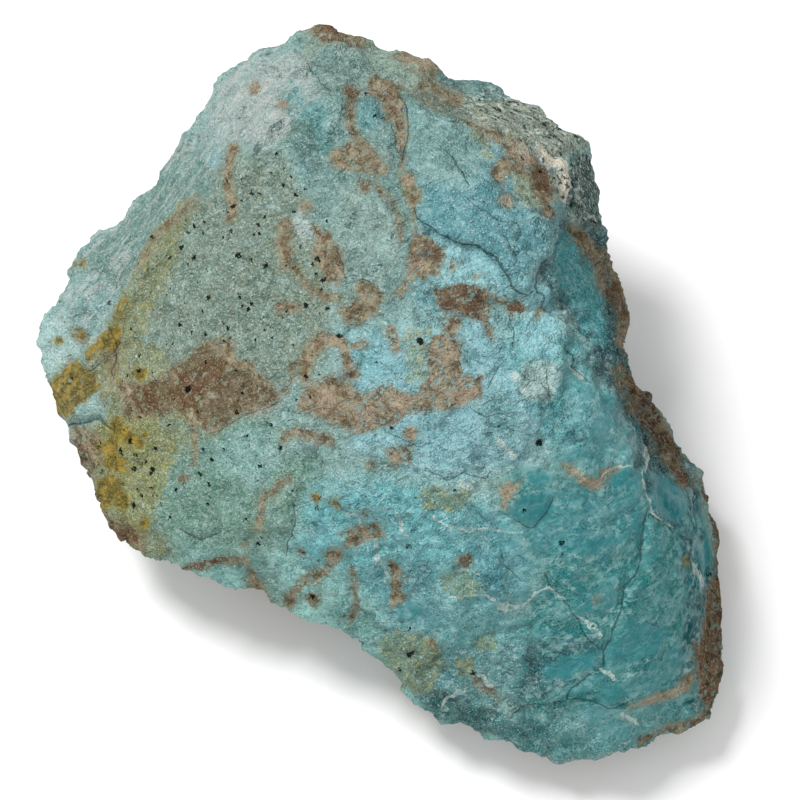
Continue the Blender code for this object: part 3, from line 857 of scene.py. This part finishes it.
def relief(places, fields):
    """The height of the fine surface over the solid's."""
    height = terraces(places) + sample(places, SWELL_SIZE, noise.noise) * SWELL_HEIGHT
    for size, lean in PLATES.items():
        height += sample(places, size, lambda place: plates(place, lean))
    still = np.maximum(0.6 * fields["granular"], 0.65 * fields["glassy"])
    height *= 1.0 - np.maximum(still, 0.55 * fields["calm"])
    grain = sample(places, GRAIN_SIZE, lambda place: noise.fractal(place, 0.9, 2.0, 3))
    height += grain * GRAIN_HEIGHT * (1.0 - 0.6 * fields["glassy"])
    height += steps(ragged(places, in_photo(places), 4.0)) * fields["seen"]
    height += pushes(in_photo(places))
    height -= ROCK_DEPTH * ease(fields["brown"], -0.2, 0.4)
    crags = sample(places, CRAG_SIZE, lambda place: noise.ridged_multi_fractal(place, 1, 2, 3, 1, 2))
    height += (crags - crags.mean()) * CRAG_HEIGHT * fields["crust"]
    crack = np.exp(-(fields["crack_away"] / CRACK_WIDTH) ** 2)
    return height - crack * CRACK_DEPTH


def spread(mesh, values, passes):
    """The values evened out over the mesh, each vertex with its neighbours, this many times."""
    ends = np.empty(len(mesh.edges) * 2, np.int32)
    mesh.edges.foreach_get("vertices", ends)
    first, second = ends.reshape(-1, 2).T
    count = len(values)
    shares = np.bincount(ends, minlength=count) + 1
    for _ in range(passes):
        around = np.bincount(first, values[second], count) + np.bincount(second, values[first], count)
        values = (values + around) / shares
    return values


def facing_eye(mesh, places, normals):
    """How far the surface faces the photograph's eye; its edge runs raggedly on over the ridges."""
    eye = np.array(PHOTO_CENTRE + TO_EYE * EYE_DISTANCE)
    way = eye - places
    way /= np.linalg.norm(way, axis=1)[:, None]
    facing = np.einsum("ij,ij->i", way, normals)
    wander = sample(places, PATCH_SIZE, noise.noise)
    return np.maximum(facing, spread(mesh, facing, RIDGE_SPREAD) + 0.5 * wander)


def ragged(places, seen, reach):
    """The seen points moved a little by noise, so that the marks' edges wander."""
    coarse = sample(places, WANDER_SIZE, drift)[:, :2]
    fine = sample(places, WANDER_DETAIL, drift)[:, :2]
    return seen + (coarse + 0.5 * fine) * reach


def marked_fields(places, facing):
    """Soft fields on the vertices, one for each kind of mark, in millimetres or from 0 to 1."""
    share = ease(facing, -0.1, 0.12)
    seen = in_photo(places)
    wander = ragged(places, seen, 4.0)
    blotch = sample(places, BLOTCH_SIZE, noise.noise)
    patch = sample(places, PATCH_SIZE, noise.noise)

    def both(depth, hidden):
        return share * np.clip(depth * PIXEL, -3.0, 3.0) + (1.0 - share) * hidden

    brown = mark_depth(
        wander, BROWN_PATCHES.values(), BROWN_STREAKS.values(), BROWN_SPOTS
    )
    ochre = mark_depth(
        wander, OCHRE_PATCHES.values(), OCHRE_STREAKS.values(), OCHRE_SPOTS
    )
    granular = ease(both(mark_depth(wander, GRANULAR.values()), 2.0 * blotch), -1.5, 1.5)
    calm = ease(both(mark_depth(wander, CALM.values()), -2.0), -1.0, 1.5)
    hackly = (1.0 - calm) * (1.0 - 0.8 * granular) * ease(patch + 0.5 * blotch, -0.3, 0.25)
    nearest_crack, crack, crack_width = nearest_line(ragged(places, seen, 3.0), CRACKS.values())
    nearest_vein, vein, vein_width = nearest_line(ragged(places, seen, 4.0), VEINS.values())
    return {
        "seen": share,
        "brown": both(brown, 3.0 * (blotch + 0.6 * patch) - 0.3),
        "pink": both(mark_depth(wander, spots=PINK_SPOTS), 3.0 * patch - 1.0),
        "dark": both(mark_depth(wander, spots=DARK_SPOTS), 2.0 * patch - 1.5),
        "rust": both(mark_depth(wander, spots=RUST_SPOTS), 3.0 * blotch - 1.0),
        "crust": ease(both(mark_depth(wander, CRUST.values()), 3.0 * blotch - 1.2), -0.5, 0.6),
        "ochre": both(ochre, -3.0 * blotch - 1.6),
        "olive": both(mark_depth(wander, OLIVE_PATCHES.values()), 2.0 * patch - 1.2),
        "granular": granular,
        "glassy": ease(both(mark_depth(wander, GLASSY.values()), -2.0 * blotch - 1.0), -2.0, 2.0),
        "calm": calm,
        "hackly": hackly,
        "deep": both(mark_depth(seen, DEEP_PATCHES.values()), 2.0 * patch - 2.5),
        "block": ease(both(mark_depth(wander, [GRANULAR["grey block"]]), -2.0), -0.3, 0.5),
        "strip": both(mark_depth(wander, [WASHES["pale strip"][2], WASHES["hazy peak"][2]]), -2.0),
        "speck": both(mark_depth(seen, spots=SPECKS), -2.0),
        "crack": np.clip(crack * PIXEL, -3.0, 3.0),
        "crack_width": share * crack_width * PIXEL,
        "crack_away": np.where(share > 0.5, nearest_crack * PIXEL, FAR),
        "vein": np.clip(vein * PIXEL, -3.0, 3.0),
        "vein_width": share * vein_width * PIXEL,
        "vein_away": np.where(share > 0.5, nearest_vein * PIXEL, FAR),
    }


def washed_colour(places, share):
    """The stone's ground colour at each vertex, from the washes."""
    seen = ragged(places, in_photo(places), 10.0)
    colour = np.tile(linear(GROUND_COLOUR), (len(places), 1))
    for tint, edge, outline in WASHES.values():
        amount = ease(inside(seen, outline), -edge / 2, edge / 2) * share
        colour += amount[:, None] * (np.array(linear(tint)) - colour)
    shade = sample(places, SHADE_SIZE, noise.noise)
    hidden = (1.0 - share) * ease(shade, -0.3, 0.4)
    return colour + hidden[:, None] * (np.array(linear("#4f8083")) - colour)


def sculpt_stone():
    """The stone's finished mesh, with its fields stored on it."""
    mesh = fine_mesh()
    smooth(mesh, VOXEL_SMOOTHING)
    places, normals = read_mesh(mesh)
    facing = facing_eye(mesh, places, normals)
    fields = marked_fields(places, facing)
    fields["ground"] = washed_colour(places, ease(facing, -0.5, 0.1))
    fields["gloss"] = ease(facing, 0.3, 0.6)
    height = relief(places, fields)
    places += normals * (height - height.mean() + LIFT)[:, None]
    mesh.vertices.foreach_set("co", places.astype(np.float32).ravel())
    smooth(mesh, 1, RELIEF_SMOOTHING)
    places, _ = read_mesh(mesh)
    fit_to_solid(places)
    mesh.vertices.foreach_set("co", (places * MM).astype(np.float32).ravel())
    mesh.update()
    mesh.shade_smooth()
    for name, values in fields.items():
        if name not in RELIEF_FIELDS:
            store_field(mesh, name, values)
    return mesh


def fit_to_solid(places):
    """Keeps the stone within its solid's box, eased in near the sides, and its foot flat."""
    low, high = np.array(cad_lowest) / MM, np.array(cad_highest) / MM
    places[:, 2] = np.maximum(places[:, 2], FOOT_CUT)
    below_top = np.logaddexp(0.0, (high - places) / BOX_EASE) * BOX_EASE
    places[:] = high - below_top
    past_side = np.logaddexp(0.0, (places[:, :2] - low[:2]) / BOX_EASE) * BOX_EASE
    places[:, :2] = low[:2] + past_side
    made_low, made_high = places.min(axis=0), places.max(axis=0)
    places -= made_low
    places *= (high - low) / (made_high - made_low)
    places += low


def store_field(mesh, name, values):
    """Stores one number or one colour for each vertex."""
    if values.ndim == 2:
        attribute = mesh.attributes.new(name, "FLOAT_COLOR", "POINT")
        with_alpha = np.column_stack([values, np.ones(len(values))])
        attribute.data.foreach_set("color", with_alpha.astype(np.float32).ravel())
    else:
        attribute = mesh.attributes.new(name, "FLOAT", "POINT")
        attribute.data.foreach_set("value", values.astype(np.float32))


# Raw turquoise in its host rock, as broken: waxy blue-green stone, glassy where it is deepest in
# colour and sugary where it is pale, with matt brown rock, ochre stains, white veins and black specks


def add(tree, kind, inputs, output=0, **settings):
    """Adds a node with its settings, sets or links its inputs, and gives one of its outputs."""
    node = tree.nodes.new("ShaderNode" + kind)
    for name, value in settings.items():
        setattr(node, name, value)
    for name, value in inputs.items():
        if isinstance(value, bpy.types.NodeSocket):
            tree.links.new(value, node.inputs[name])
        elif isinstance(value, str):
            node.inputs[name].default_value = (*linear(value), 1.0)
        else:
            node.inputs[name].default_value = value
    return node.outputs[output]


def clouds(tree, place, size, low, high, detail=2.5, roughness=0.62):
    """Clouds of this size in millimetres: 0 where the noise is at low, and 1 where it is at high."""
    noise_inputs = {"Vector": place, "Scale": 1.0 / size, "Detail": detail, "Roughness": roughness}
    cloud = add(tree, "TexNoise", noise_inputs)
    return add(tree, "MapRange", {"Value": cloud, "From Min": low, "From Max": high})


def hairlines(tree, place, size, width):
    """Thin wandering lines, where noise of this size is within this width of its middle."""
    noise_inputs = {"Vector": place, "Scale": 1.0 / size, "Detail": 2.0, "Distortion": 0.6}
    cloud = add(tree, "TexNoise", noise_inputs)
    off = add(tree, "Math", {0: cloud, 1: 0.5}, operation="SUBTRACT")
    off = add(tree, "Math", {0: off}, operation="ABSOLUTE")
    return add(tree, "MapRange", {"Value": off, "From Min": width, "From Max": 0.0})


def facets(tree, place, size):
    """Crisp fracture planes of this size: the height of each as it leans, and a tone from one part of
    its lean, used as painted light and shade.
    """
    bend_inputs = {"Vector": place, "Scale": 1.3 / size, "Detail": 1.0}
    bend = add(tree, "TexNoise", bend_inputs, output="Color")
    inputs = {0: bend, 1: (0.6 * size,) * 3, 2: place}
    bent = add(tree, "VectorMath", inputs, operation="MULTIPLY_ADD")
    lot = add(tree, "TexVoronoi", {"Vector": bent, "Scale": 1.0 / size}, output="Color")
    middle = lot.node.outputs["Position"]
    away = add(tree, "VectorMath", {0: bent, 1: middle}, operation="SUBTRACT")
    way = add(tree, "VectorMath", {0: lot, 1: (0.5,) * 3}, operation="SUBTRACT")
    height = add(tree, "VectorMath", {0: away, 1: way}, output="Value", operation="DOT_PRODUCT")
    return height, add(tree, "SeparateColor", {0: lot})


def flakes(tree, place, size, count):
    """Overlapping flakes: how far across its flake each place lies, and the flakes' height."""
    level = clouds(tree, place, size, 0.2, 0.8, detail=1.0)
    level = add(tree, "Math", {0: level, 1: count}, operation="MULTIPLY")
    across = add(tree, "Math", {0: level}, operation="FRACT")
    edge = add(tree, "MapRange", {"Value": across, "From Min": 0.7, "From Max": 1.0})
    return across, add(tree, "Math", {0: edge, 1: across}, operation="SUBTRACT")


def stretched(tree, place, along, share):
    """The place squeezed along a direction by this share, which draws patterns out along it."""
    run = add(tree, "VectorMath", {0: place, 1: along}, output="Value", operation="DOT_PRODUCT")
    back = add(tree, "VectorMath", {0: along, "Scale": run}, operation="SCALE")
    inputs = {0: back, 1: (-share,) * 3, 2: place}
    return add(tree, "VectorMath", inputs, operation="MULTIPLY_ADD")


def mask(tree, place, name, edge=0.0, softness=0.1, ragged_by=0.5, ragged_size=0.7):
    """A stored field cut off at its edge, which a fine pattern moves in and out."""
    depth = add(tree, "Attribute", {}, output="Fac", attribute_name=name)
    rough = clouds(tree, place, ragged_size, 0.3, 0.7, detail=4.0, roughness=0.78)
    moved = add(
        tree, "Math", {0: rough, 1: 2.0 * ragged_by, 2: depth}, operation="MULTIPLY_ADD"
    )
    edge += ragged_by
    inputs = {"Value": moved, "From Min": edge - softness, "From Max": edge + softness}
    return add(tree, "MapRange", inputs, interpolation_type="SMOOTHSTEP")


def line(tree, place, name, ragged_by=0.12):
    """A thin line where a stored signed distance passes zero, as wide as its stored width."""
    side = add(tree, "Attribute", {}, output="Fac", attribute_name=name)
    width = add(tree, "Attribute", {}, output="Fac", attribute_name=name + "_width")
    away = add(tree, "Attribute", {}, output="Fac", attribute_name=name + "_away")
    rough = clouds(tree, place, 0.6, 0.2, 0.8)
    bent = add(tree, "Math", {0: rough, 1: 2 * ragged_by, 2: side}, operation="MULTIPLY_ADD")
    off = add(tree, "Math", {0: bent, 1: ragged_by}, operation="SUBTRACT")
    off = add(tree, "Math", {0: off}, operation="ABSOLUTE")
    depth = add(tree, "Math", {0: width, 1: off}, operation="SUBTRACT")
    drawn = add(tree, "MapRange", {"Value": depth, "From Min": -0.04, "From Max": 0.06})
    inputs = {"Value": away, "From Min": 0.45, "From Max": 0.8, "To Min": 1.0, "To Max": 0.0}
    near = add(tree, "MapRange", inputs)
    return add(tree, "Math", {0: drawn, 1: near}, operation="MULTIPLY")


def lay(tree, amount, under, over, share=1.0, blend="MIX"):
    """One colour laid over another, by a pattern's amount and this share of it."""
    part = add(tree, "Math", {0: amount, 1: share}, operation="MULTIPLY")
    inputs = {0: part, 6: under, 7: over}
    return add(tree, "Mix", inputs, output=2, data_type="RGBA", blend_type=blend)


def turquoise(tree, place, chip_painted_shading, crumb_painted_shading, across):
    """The blue-green stone: its washes, painted light and shade chip by chip by the way each leans,
    painted glints, painted highlights on the flakes' crests, pale wisps and dark hairlines.
    """
    colour = add(tree, "Attribute", {}, output="Color", attribute_name="ground")
    colour = lay(tree, clouds(tree, place, 3.0, 0.5, 0.62), colour, "#9dc2c1", 0.14)
    colour = lay(tree, clouds(tree, place, 1.3, 0.44, 0.38), colour, "#37797b", 0.16)
    # Painted light and painted shade: chips and crumbs lighter or darker by the way each leans
    painted_lit_chips = add(tree, "MapRange", {"Value": chip_painted_shading, "From Min": 0.6, "From Max": 0.9})
    painted_shaded_chips = add(tree, "MapRange", {"Value": chip_painted_shading, "From Min": 0.4, "From Max": 0.1})
    colour = lay(tree, painted_lit_chips, colour, "#a9cccb", 0.1)
    colour = lay(tree, painted_shaded_chips, colour, "#2f7276", 0.14)
    painted_lit_crumbs = add(tree, "MapRange", {"Value": crumb_painted_shading, "From Min": 0.7, "From Max": 0.95})
    painted_shaded_crumbs = add(tree, "MapRange", {"Value": crumb_painted_shading, "From Min": 0.3, "From Max": 0.05})
    colour = lay(tree, painted_lit_crumbs, colour, "#bcd6d3", 0.2)
    colour = lay(tree, painted_shaded_crumbs, colour, "#215a5c", 0.25)
    olive = mask(tree, place, "olive", edge=-0.2, softness=0.6, ragged_by=0.9, ragged_size=2.0)
    colour = lay(tree, olive, colour, "#84803a", 0.38)
    lime = add(tree, "Math", {0: clouds(tree, place, 0.9, 0.52, 0.62), 1: olive}, operation="MULTIPLY")
    colour = lay(tree, lime, colour, "#a9a050", 0.45)
    streaks = clouds(tree, stretched(tree, place, STRIP_RUN, 0.82), 1.1, 0.5, 0.62)
    strip = mask(tree, place, "strip", softness=1.2, ragged_by=1.0, ragged_size=3.0)
    streaks = add(tree, "Math", {0: streaks, 1: strip}, operation="MULTIPLY")
    colour = lay(tree, streaks, colour, "#c4c3bc", 0.4)
    glassy = add(tree, "Attribute", {}, output="Fac", attribute_name="glassy")
    still = add(tree, "MapRange", {"Value": glassy, "To Min": 1.0, "To Max": 0.3})
    # Painted glints: tiny pale flecks, fewer where the stone is glassy
    painted_glint = add(tree, "Math", {0: clouds(tree, place, 0.28, 0.57, 0.68), 1: still}, operation="MULTIPLY")
    colour = lay(tree, painted_glint, colour, "#d3e3df", 0.6)
    colour = lay(tree, clouds(tree, place, 0.36, 0.42, 0.3), colour, "#1d3f40", 0.7)
    hackly = add(tree, "Attribute", {}, output="Fac", attribute_name="hackly")
    # Painted highlight: a pale edge along each flake's crest where the stone is hackly
    crest = add(tree, "MapRange", {"Value": across, "From Min": 0.14, "From Max": 0.0})
    crest = add(tree, "Math", {0: crest, 1: hackly}, operation="MULTIPLY")
    colour = lay(tree, crest, colour, "#bfdad6", 0.3)
    wisp = hairlines(tree, place, 1.6, 0.02)
    wisp = add(tree, "Math", {0: wisp, 1: clouds(tree, place, 2.6, 0.45, 0.6)}, operation="MULTIPLY")
    colour = lay(tree, wisp, colour, "#b4d2ce", 0.4)
    hair = hairlines(tree, place, 3.2, 0.008)
    hair = add(tree, "Math", {0: hair, 1: clouds(tree, place, 3.5, 0.48, 0.56)}, operation="MULTIPLY")
    return lay(tree, hair, colour, "#17312f", 0.45)


def glassy_flakes(tree, place, drawn_out, colour):
    """Deep smooth stone in lens-shaped flakes, with bruised pale wisps between them."""
    glassy = add(tree, "Attribute", {}, output="Fac", attribute_name="glassy")
    bruise = clouds(tree, drawn_out, 1.4, 0.54, 0.62)
    bruise = add(tree, "Math", {0: bruise, 1: glassy}, operation="MULTIPLY")
    colour = lay(tree, bruise, colour, "#93c2c1", 0.42)
    lenses = clouds(tree, drawn_out, 3.4, 0.5, 0.53)
    lenses = add(tree, "Math", {0: lenses, 1: glassy}, operation="MULTIPLY")
    colour = lay(tree, lenses, colour, "#2a757a", 0.45)
    deep = mask(tree, place, "deep", softness=0.35, ragged_by=0.7, ragged_size=2.5)
    colour = lay(tree, deep, colour, "#267a7f", 0.7)
    polish = add(tree, "Math", {0: lenses, 1: deep}, operation="MAXIMUM")
    seam = hairlines(tree, drawn_out, 2.2, 0.014)
    seam = add(tree, "Math", {0: seam, 1: glassy}, operation="MULTIPLY")
    return lay(tree, seam, colour, "#a9cbc6", 0.2), polish


def sugary_grains(tree, place, colour):
    """Granular stone: pale sugar grains and dark olive ones, with scattered black specks."""
    granular = add(tree, "Attribute", {}, output="Fac", attribute_name="granular")
    bend = add(tree, "TexNoise", {"Vector": place, "Scale": 2.0, "Detail": 2.0}, output=1)
    bent = add(tree, "VectorMath", {0: bend, 1: (0.5,) * 3, 2: place}, operation="MULTIPLY_ADD")
    near = add(tree, "TexVoronoi", {"Vector": bent, "Scale": 3.6}, output="Color")
    kind = add(tree, "SeparateColor", {0: near}, output=0)
    pale = add(tree, "MapRange", {"Value": kind, "From Min": 0.7, "From Max": 0.95})
    dark = add(tree, "MapRange", {"Value": kind, "From Min": 0.3, "From Max": 0.05})
    pale = add(tree, "Math", {0: pale, 1: granular}, operation="MULTIPLY")
    dark = add(tree, "Math", {0: dark, 1: granular}, operation="MULTIPLY")
    colour = lay(tree, pale, colour, "#c3d2c6", 0.24)
    colour = lay(tree, dark, colour, "#43604f", 0.32)
    block = add(tree, "Attribute", {}, output="Fac", attribute_name="block")
    white = add(
        tree, "Math", {0: clouds(tree, place, 0.9, 0.54, 0.62), 1: block}, operation="MULTIPLY"
    )
    black = add(
        tree, "Math", {0: clouds(tree, place, 1.2, 0.42, 0.37), 1: block}, operation="MULTIPLY"
    )
    colour = lay(tree, white, colour, "#cfd4ca", 0.7)
    return lay(tree, black, colour, "#161d1b", 0.85)


def black_specks(tree, place, colour):
    """Black angular specks, thick where the stone is granular."""
    granular = add(tree, "Attribute", {}, output="Fac", attribute_name="granular")
    bend = add(tree, "TexNoise", {"Vector": place, "Scale": 2.5, "Detail": 2.0}, output="Color")
    bent = add(tree, "VectorMath", {0: bend, 1: (0.9,) * 3, 2: place}, operation="MULTIPLY_ADD")
    speckled = {"Vector": stretched(tree, bent, SPECK_RUN, 0.4), "Scale": 1.0}
    cell = add(tree, "TexVoronoi", speckled, distance="CHEBYCHEV")
    lot = add(tree, "SeparateColor", {0: cell.node.outputs["Color"]}, output=1)
    crowd = clouds(tree, place, 6.0, 0.35, 0.7)
    lot = add(tree, "Math", {0: crowd, 1: 0.3, 2: lot}, operation="MULTIPLY_ADD")
    size = add(tree, "MapRange", {"Value": lot, "From Min": 0.76, "From Max": 1.15, "To Max": 0.24})
    size = add(tree, "Math", {0: size, 1: granular}, operation="MULTIPLY")
    black = add(tree, "Math", {0: cell, 1: size}, operation="LESS_THAN")
    speck = mask(tree, place, "speck", softness=0.04, ragged_by=0.32, ragged_size=0.45)
    black = add(tree, "Math", {0: black, 1: speck}, operation="MAXIMUM")
    return lay(tree, black, colour, "#070a0a", 0.95), black


def host_rock(tree, place, colour, chip_painted_shading):
    """Matt brown rock: sandy, pinkish at its heart and rust-dark in places, with a stained edge."""
    sand = lay(tree, clouds(tree, place, 1.6, 0.4, 0.6), "#69573f", "#a49980")
    pink = mask(tree, place, "pink", softness=0.8, ragged_by=0.8, ragged_size=1.5)
    sand = lay(tree, pink, sand, "#baa891", 0.6)
    dark = mask(tree, place, "dark", softness=0.8, ragged_by=0.8, ragged_size=1.5)
    sand = lay(tree, dark, sand, "#564b31", 0.55)
    rust = mask(tree, place, "rust", softness=0.8, ragged_by=0.9, ragged_size=1.5)
    sand = lay(tree, rust, sand, "#5e381e", 0.65)
    crust = add(tree, "Attribute", {}, output="Fac", attribute_name="crust")
    sand = lay(tree, crust, sand, "#6b4a31", 0.4)
    pits = add(tree, "Math", {0: clouds(tree, place, 1.5, 0.5, 0.43), 1: crust}, operation="MULTIPLY")
    sand = lay(tree, pits, sand, "#1a110b", 0.75)
    # Painted shade on the brown rock's chips, darker by the way each leans
    sand = lay(tree, chip_painted_shading, sand, "#4f4230", 0.25)
    sand = lay(tree, clouds(tree, place, 0.5, 0.44, 0.34), sand, "#241b10", 0.6)
    sand = lay(tree, clouds(tree, place, 0.35, 0.56, 0.68), sand, "#cfc3ab", 0.45)
    stain = mask(tree, place, "brown", edge=-0.4, softness=0.4, ragged_by=1.2, ragged_size=1.0)
    colour = lay(tree, stain, colour, "#7e765a", 0.42)
    through = clouds(tree, place, 1.2, 0.62, 0.55, roughness=0.8)
    brown = mask(tree, place, "brown", edge=-0.05, softness=0.15, ragged_by=0.9, ragged_size=1.2)
    brown = add(tree, "Math", {0: brown, 1: through}, operation="MULTIPLY")
    colour = lay(tree, brown, colour, sand, 0.92)
    return colour, brown


def ochre(tree, place, colour):
    """Yellow ochre stain, patchy and flecked."""
    stain = mask(tree, place, "ochre", edge=-0.2, softness=0.15, ragged_by=0.8, ragged_size=1.4)
    tone = lay(tree, clouds(tree, place, 1.3, 0.42, 0.6), "#5f5118", "#9b8231")
    tone = lay(tree, clouds(tree, place, 0.35, 0.56, 0.66), tone, "#c4b878", 0.45)
    halo = mask(tree, place, "ochre", edge=-0.7, softness=0.5, ragged_by=1.2, ragged_size=1.5)
    colour = lay(tree, halo, colour, "#7d763a", 0.4)
    through = clouds(tree, place, 1.2, 0.7, 0.6, roughness=0.8)
    stain = add(tree, "Math", {0: stain, 1: through}, operation="MULTIPLY")
    return lay(tree, stain, colour, tone, 0.85)


def veins_and_cracks(tree, place, colour):
    """White veins, then the dark of the cracks, which at the foot of each ledge is painted shade."""
    vein = line(tree, place, "vein", 0.25)
    vein = add(tree, "Math", {0: vein, 1: clouds(tree, place, 1.2, 0.35, 0.55)}, operation="MULTIPLY")
    colour = lay(tree, vein, colour, "#c3cfc7", 0.75)
    # Dark crack lines: real cracks, and painted shade along the ledges' feet
    return lay(tree, line(tree, place, "crack", 0.14), colour, "#16302f", 0.66)


def grain_bump(tree, place, chips, crumbs, flaked, polish):
    """The finest relief: leaning chips and flakes with thin steps, and sugar grain on them."""
    glassy = add(tree, "Attribute", {}, output="Fac", attribute_name="glassy")
    hackly = add(tree, "Attribute", {}, output="Fac", attribute_name="hackly")
    hackly = add(tree, "MapRange", {"Value": hackly, "To Min": 0.35, "To Max": 0.6})
    crumbly = add(tree, "Math", {0: crumbs, 1: hackly}, operation="MULTIPLY")
    height = add(tree, "Math", {0: flaked, 1: hackly}, operation="MULTIPLY")
    height = add(tree, "Math", {0: height, 1: 0.5}, operation="MULTIPLY")
    height = add(tree, "Math", {0: chips, 1: 0.7, 2: height}, operation="MULTIPLY_ADD")
    height = add(tree, "Math", {0: crumbly, 1: 0.9, 2: height}, operation="MULTIPLY_ADD")
    fine = clouds(tree, place, 0.35, 0.2, 0.8, detail=1.0)
    height = add(tree, "Math", {0: fine, 1: 0.3, 2: height}, operation="MULTIPLY_ADD")
    smoothness = add(tree, "Math", {0: glassy, 1: 0.5, 2: polish}, operation="MULTIPLY_ADD")
    strength = add(tree, "MapRange", {"Value": smoothness, "To Min": 1.0, "To Max": 0.2})
    height = add(tree, "Math", {0: height, 1: strength}, operation="MULTIPLY")
    return add(tree, "Bump", {"Height": height, "Distance": 1.0 * MM})


def stone_material():
    """Raw turquoise: matt to waxy blue-green stone with matt brown rock and stains in it."""
    material = bpy.data.materials.new("raw turquoise in host rock")
    material.use_nodes = True
    tree = material.node_tree
    shader = tree.nodes["Principled BSDF"]
    spot = add(tree, "TexCoord", {}, output="Object")
    place = add(tree, "VectorMath", {0: spot, "Scale": 1.0 / MM}, operation="SCALE")
    chips, chip_painted_shading = facets(tree, place, 1.8)
    crumbs, crumb_painted_shading = facets(tree, place, 0.7)
    drawn_out = stretched(tree, place, FLAKE_RUN, 0.55)
    across, flaked = flakes(tree, drawn_out, 2.6, 2.5)
    colour = turquoise(tree, place, chip_painted_shading, crumb_painted_shading, across)
    colour, polish = glassy_flakes(tree, place, drawn_out, colour)
    colour = sugary_grains(tree, place, colour)
    colour, brown = host_rock(tree, place, colour, chip_painted_shading)
    colour = ochre(tree, place, colour)
    colour = veins_and_cracks(tree, place, colour)
    colour, black = black_specks(tree, place, colour)
    waxy = add(tree, "MapRange", {"Value": polish, "To Min": 0.6, "To Max": 0.32})
    dull = add(tree, "Math", {0: brown, 1: black}, operation="MAXIMUM")
    gloss = add(tree, "Attribute", {}, output="Fac", attribute_name="gloss")
    shine = add(tree, "MapRange", {"Value": polish, "To Min": 0.05, "To Max": 0.16})
    shine = add(tree, "Math", {0: shine, 1: gloss}, operation="MULTIPLY")
    shine = add(tree, "Mix", {0: dull, 2: shine, 3: 0.0})
    rough = add(tree, "Mix", {0: brown, 2: waxy, 3: 0.85})
    tree.links.new(colour, shader.inputs["Base Color"])
    tree.links.new(rough, shader.inputs["Roughness"])
    tree.links.new(shine, shader.inputs["Specular IOR Level"])
    bump = grain_bump(tree, place, chips, crumbs, flaked, polish)
    tree.links.new(bump, shader.inputs["Normal"])
    shader.inputs["IOR"].default_value = 1.61
    return material


# The stone, its table and its light


def make_stone():
    """The whole stone, as one piece that stands in for its solid."""
    mesh = sculpt_stone()
    mesh.materials.clear()
    mesh.materials.append(stone_material())
    stone = bpy.data.objects.new("rough_turquoise", mesh)
    bpy.context.scene.collection.objects.link(stone)
    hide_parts(NODE)
    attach(stone, "root")


def make_floor():
    """A plain pale floor."""
    bm = bmesh.new()
    bmesh.ops.create_grid(bm, x_segments=1, y_segments=1, size=2.5)
    mesh = bpy.data.meshes.new("floor")
    bm.to_mesh(mesh)
    bm.free()
    paper = bpy.data.materials.new("matt white paper")
    paper.use_nodes = True
    shader = paper.node_tree.nodes["Principled BSDF"]
    shader.inputs["Base Color"].default_value = (*linear("#f7f7f7"), 1.0)
    shader.inputs["Roughness"].default_value = 0.9
    mesh.materials.append(paper)
    floor = bpy.data.objects.new("floor", mesh)
    bpy.context.scene.collection.objects.link(floor)


def add_lamp(name, toward, distance, size, power):
    """A square soft light that looks at the stone from a direction."""
    lamp = bpy.data.lights.new(name, "AREA")
    lamp.size = size
    lamp.energy = power
    holder = bpy.data.objects.new(name, lamp)
    way = Vector(toward).normalized()
    holder.location = PHOTO_CENTRE * MM + way * distance
    holder.rotation_euler = way.to_track_quat("Z", "Y").to_euler()
    bpy.context.scene.collection.objects.link(holder)


def light_scene():
    """Soft daylight from the upper left, and a pale room all round."""
    add_lamp("window", (-0.5, 0.35, 1.0), 0.7, 0.2, 3.9)
    add_lamp("fill", (-0.1, -0.9, 0.9), 0.9, 0.8, 1.9)
    world = bpy.data.worlds.new("pale room")
    world.use_nodes = True
    world.node_tree.nodes["Background"].inputs["Color"].default_value = (1.0, 1.0, 1.0, 1.0)
    world.node_tree.nodes["Background"].inputs["Strength"].default_value = 0.58
    bpy.context.scene.world = world
    bpy.context.scene.view_settings.view_transform = "Standard"
    bpy.context.scene.cycles.max_bounces = 3


def make_camera():
    """The photograph's eye: its frame is PHOTO_SIDE pixels wide at the depth of PHOTO_CENTRE."""
    camera = bpy.data.cameras.new("photo eye")
    camera.sensor_width = SENSOR
    camera.lens = SENSOR * EYE_DISTANCE / (PHOTO_SIDE * PIXEL)
    camera.clip_start, camera.clip_end = 0.01, 10.0
    eye = bpy.data.objects.new("photo eye", camera)
    eye.location = (PHOTO_CENTRE + TO_EYE * EYE_DISTANCE) * MM
    eye.rotation_euler = TO_EYE.to_track_quat("Z", "Y").to_euler()
    bpy.context.scene.collection.objects.link(eye)
    bpy.context.scene.camera = eye


make_stone()
make_floor()
light_scene()
make_camera()
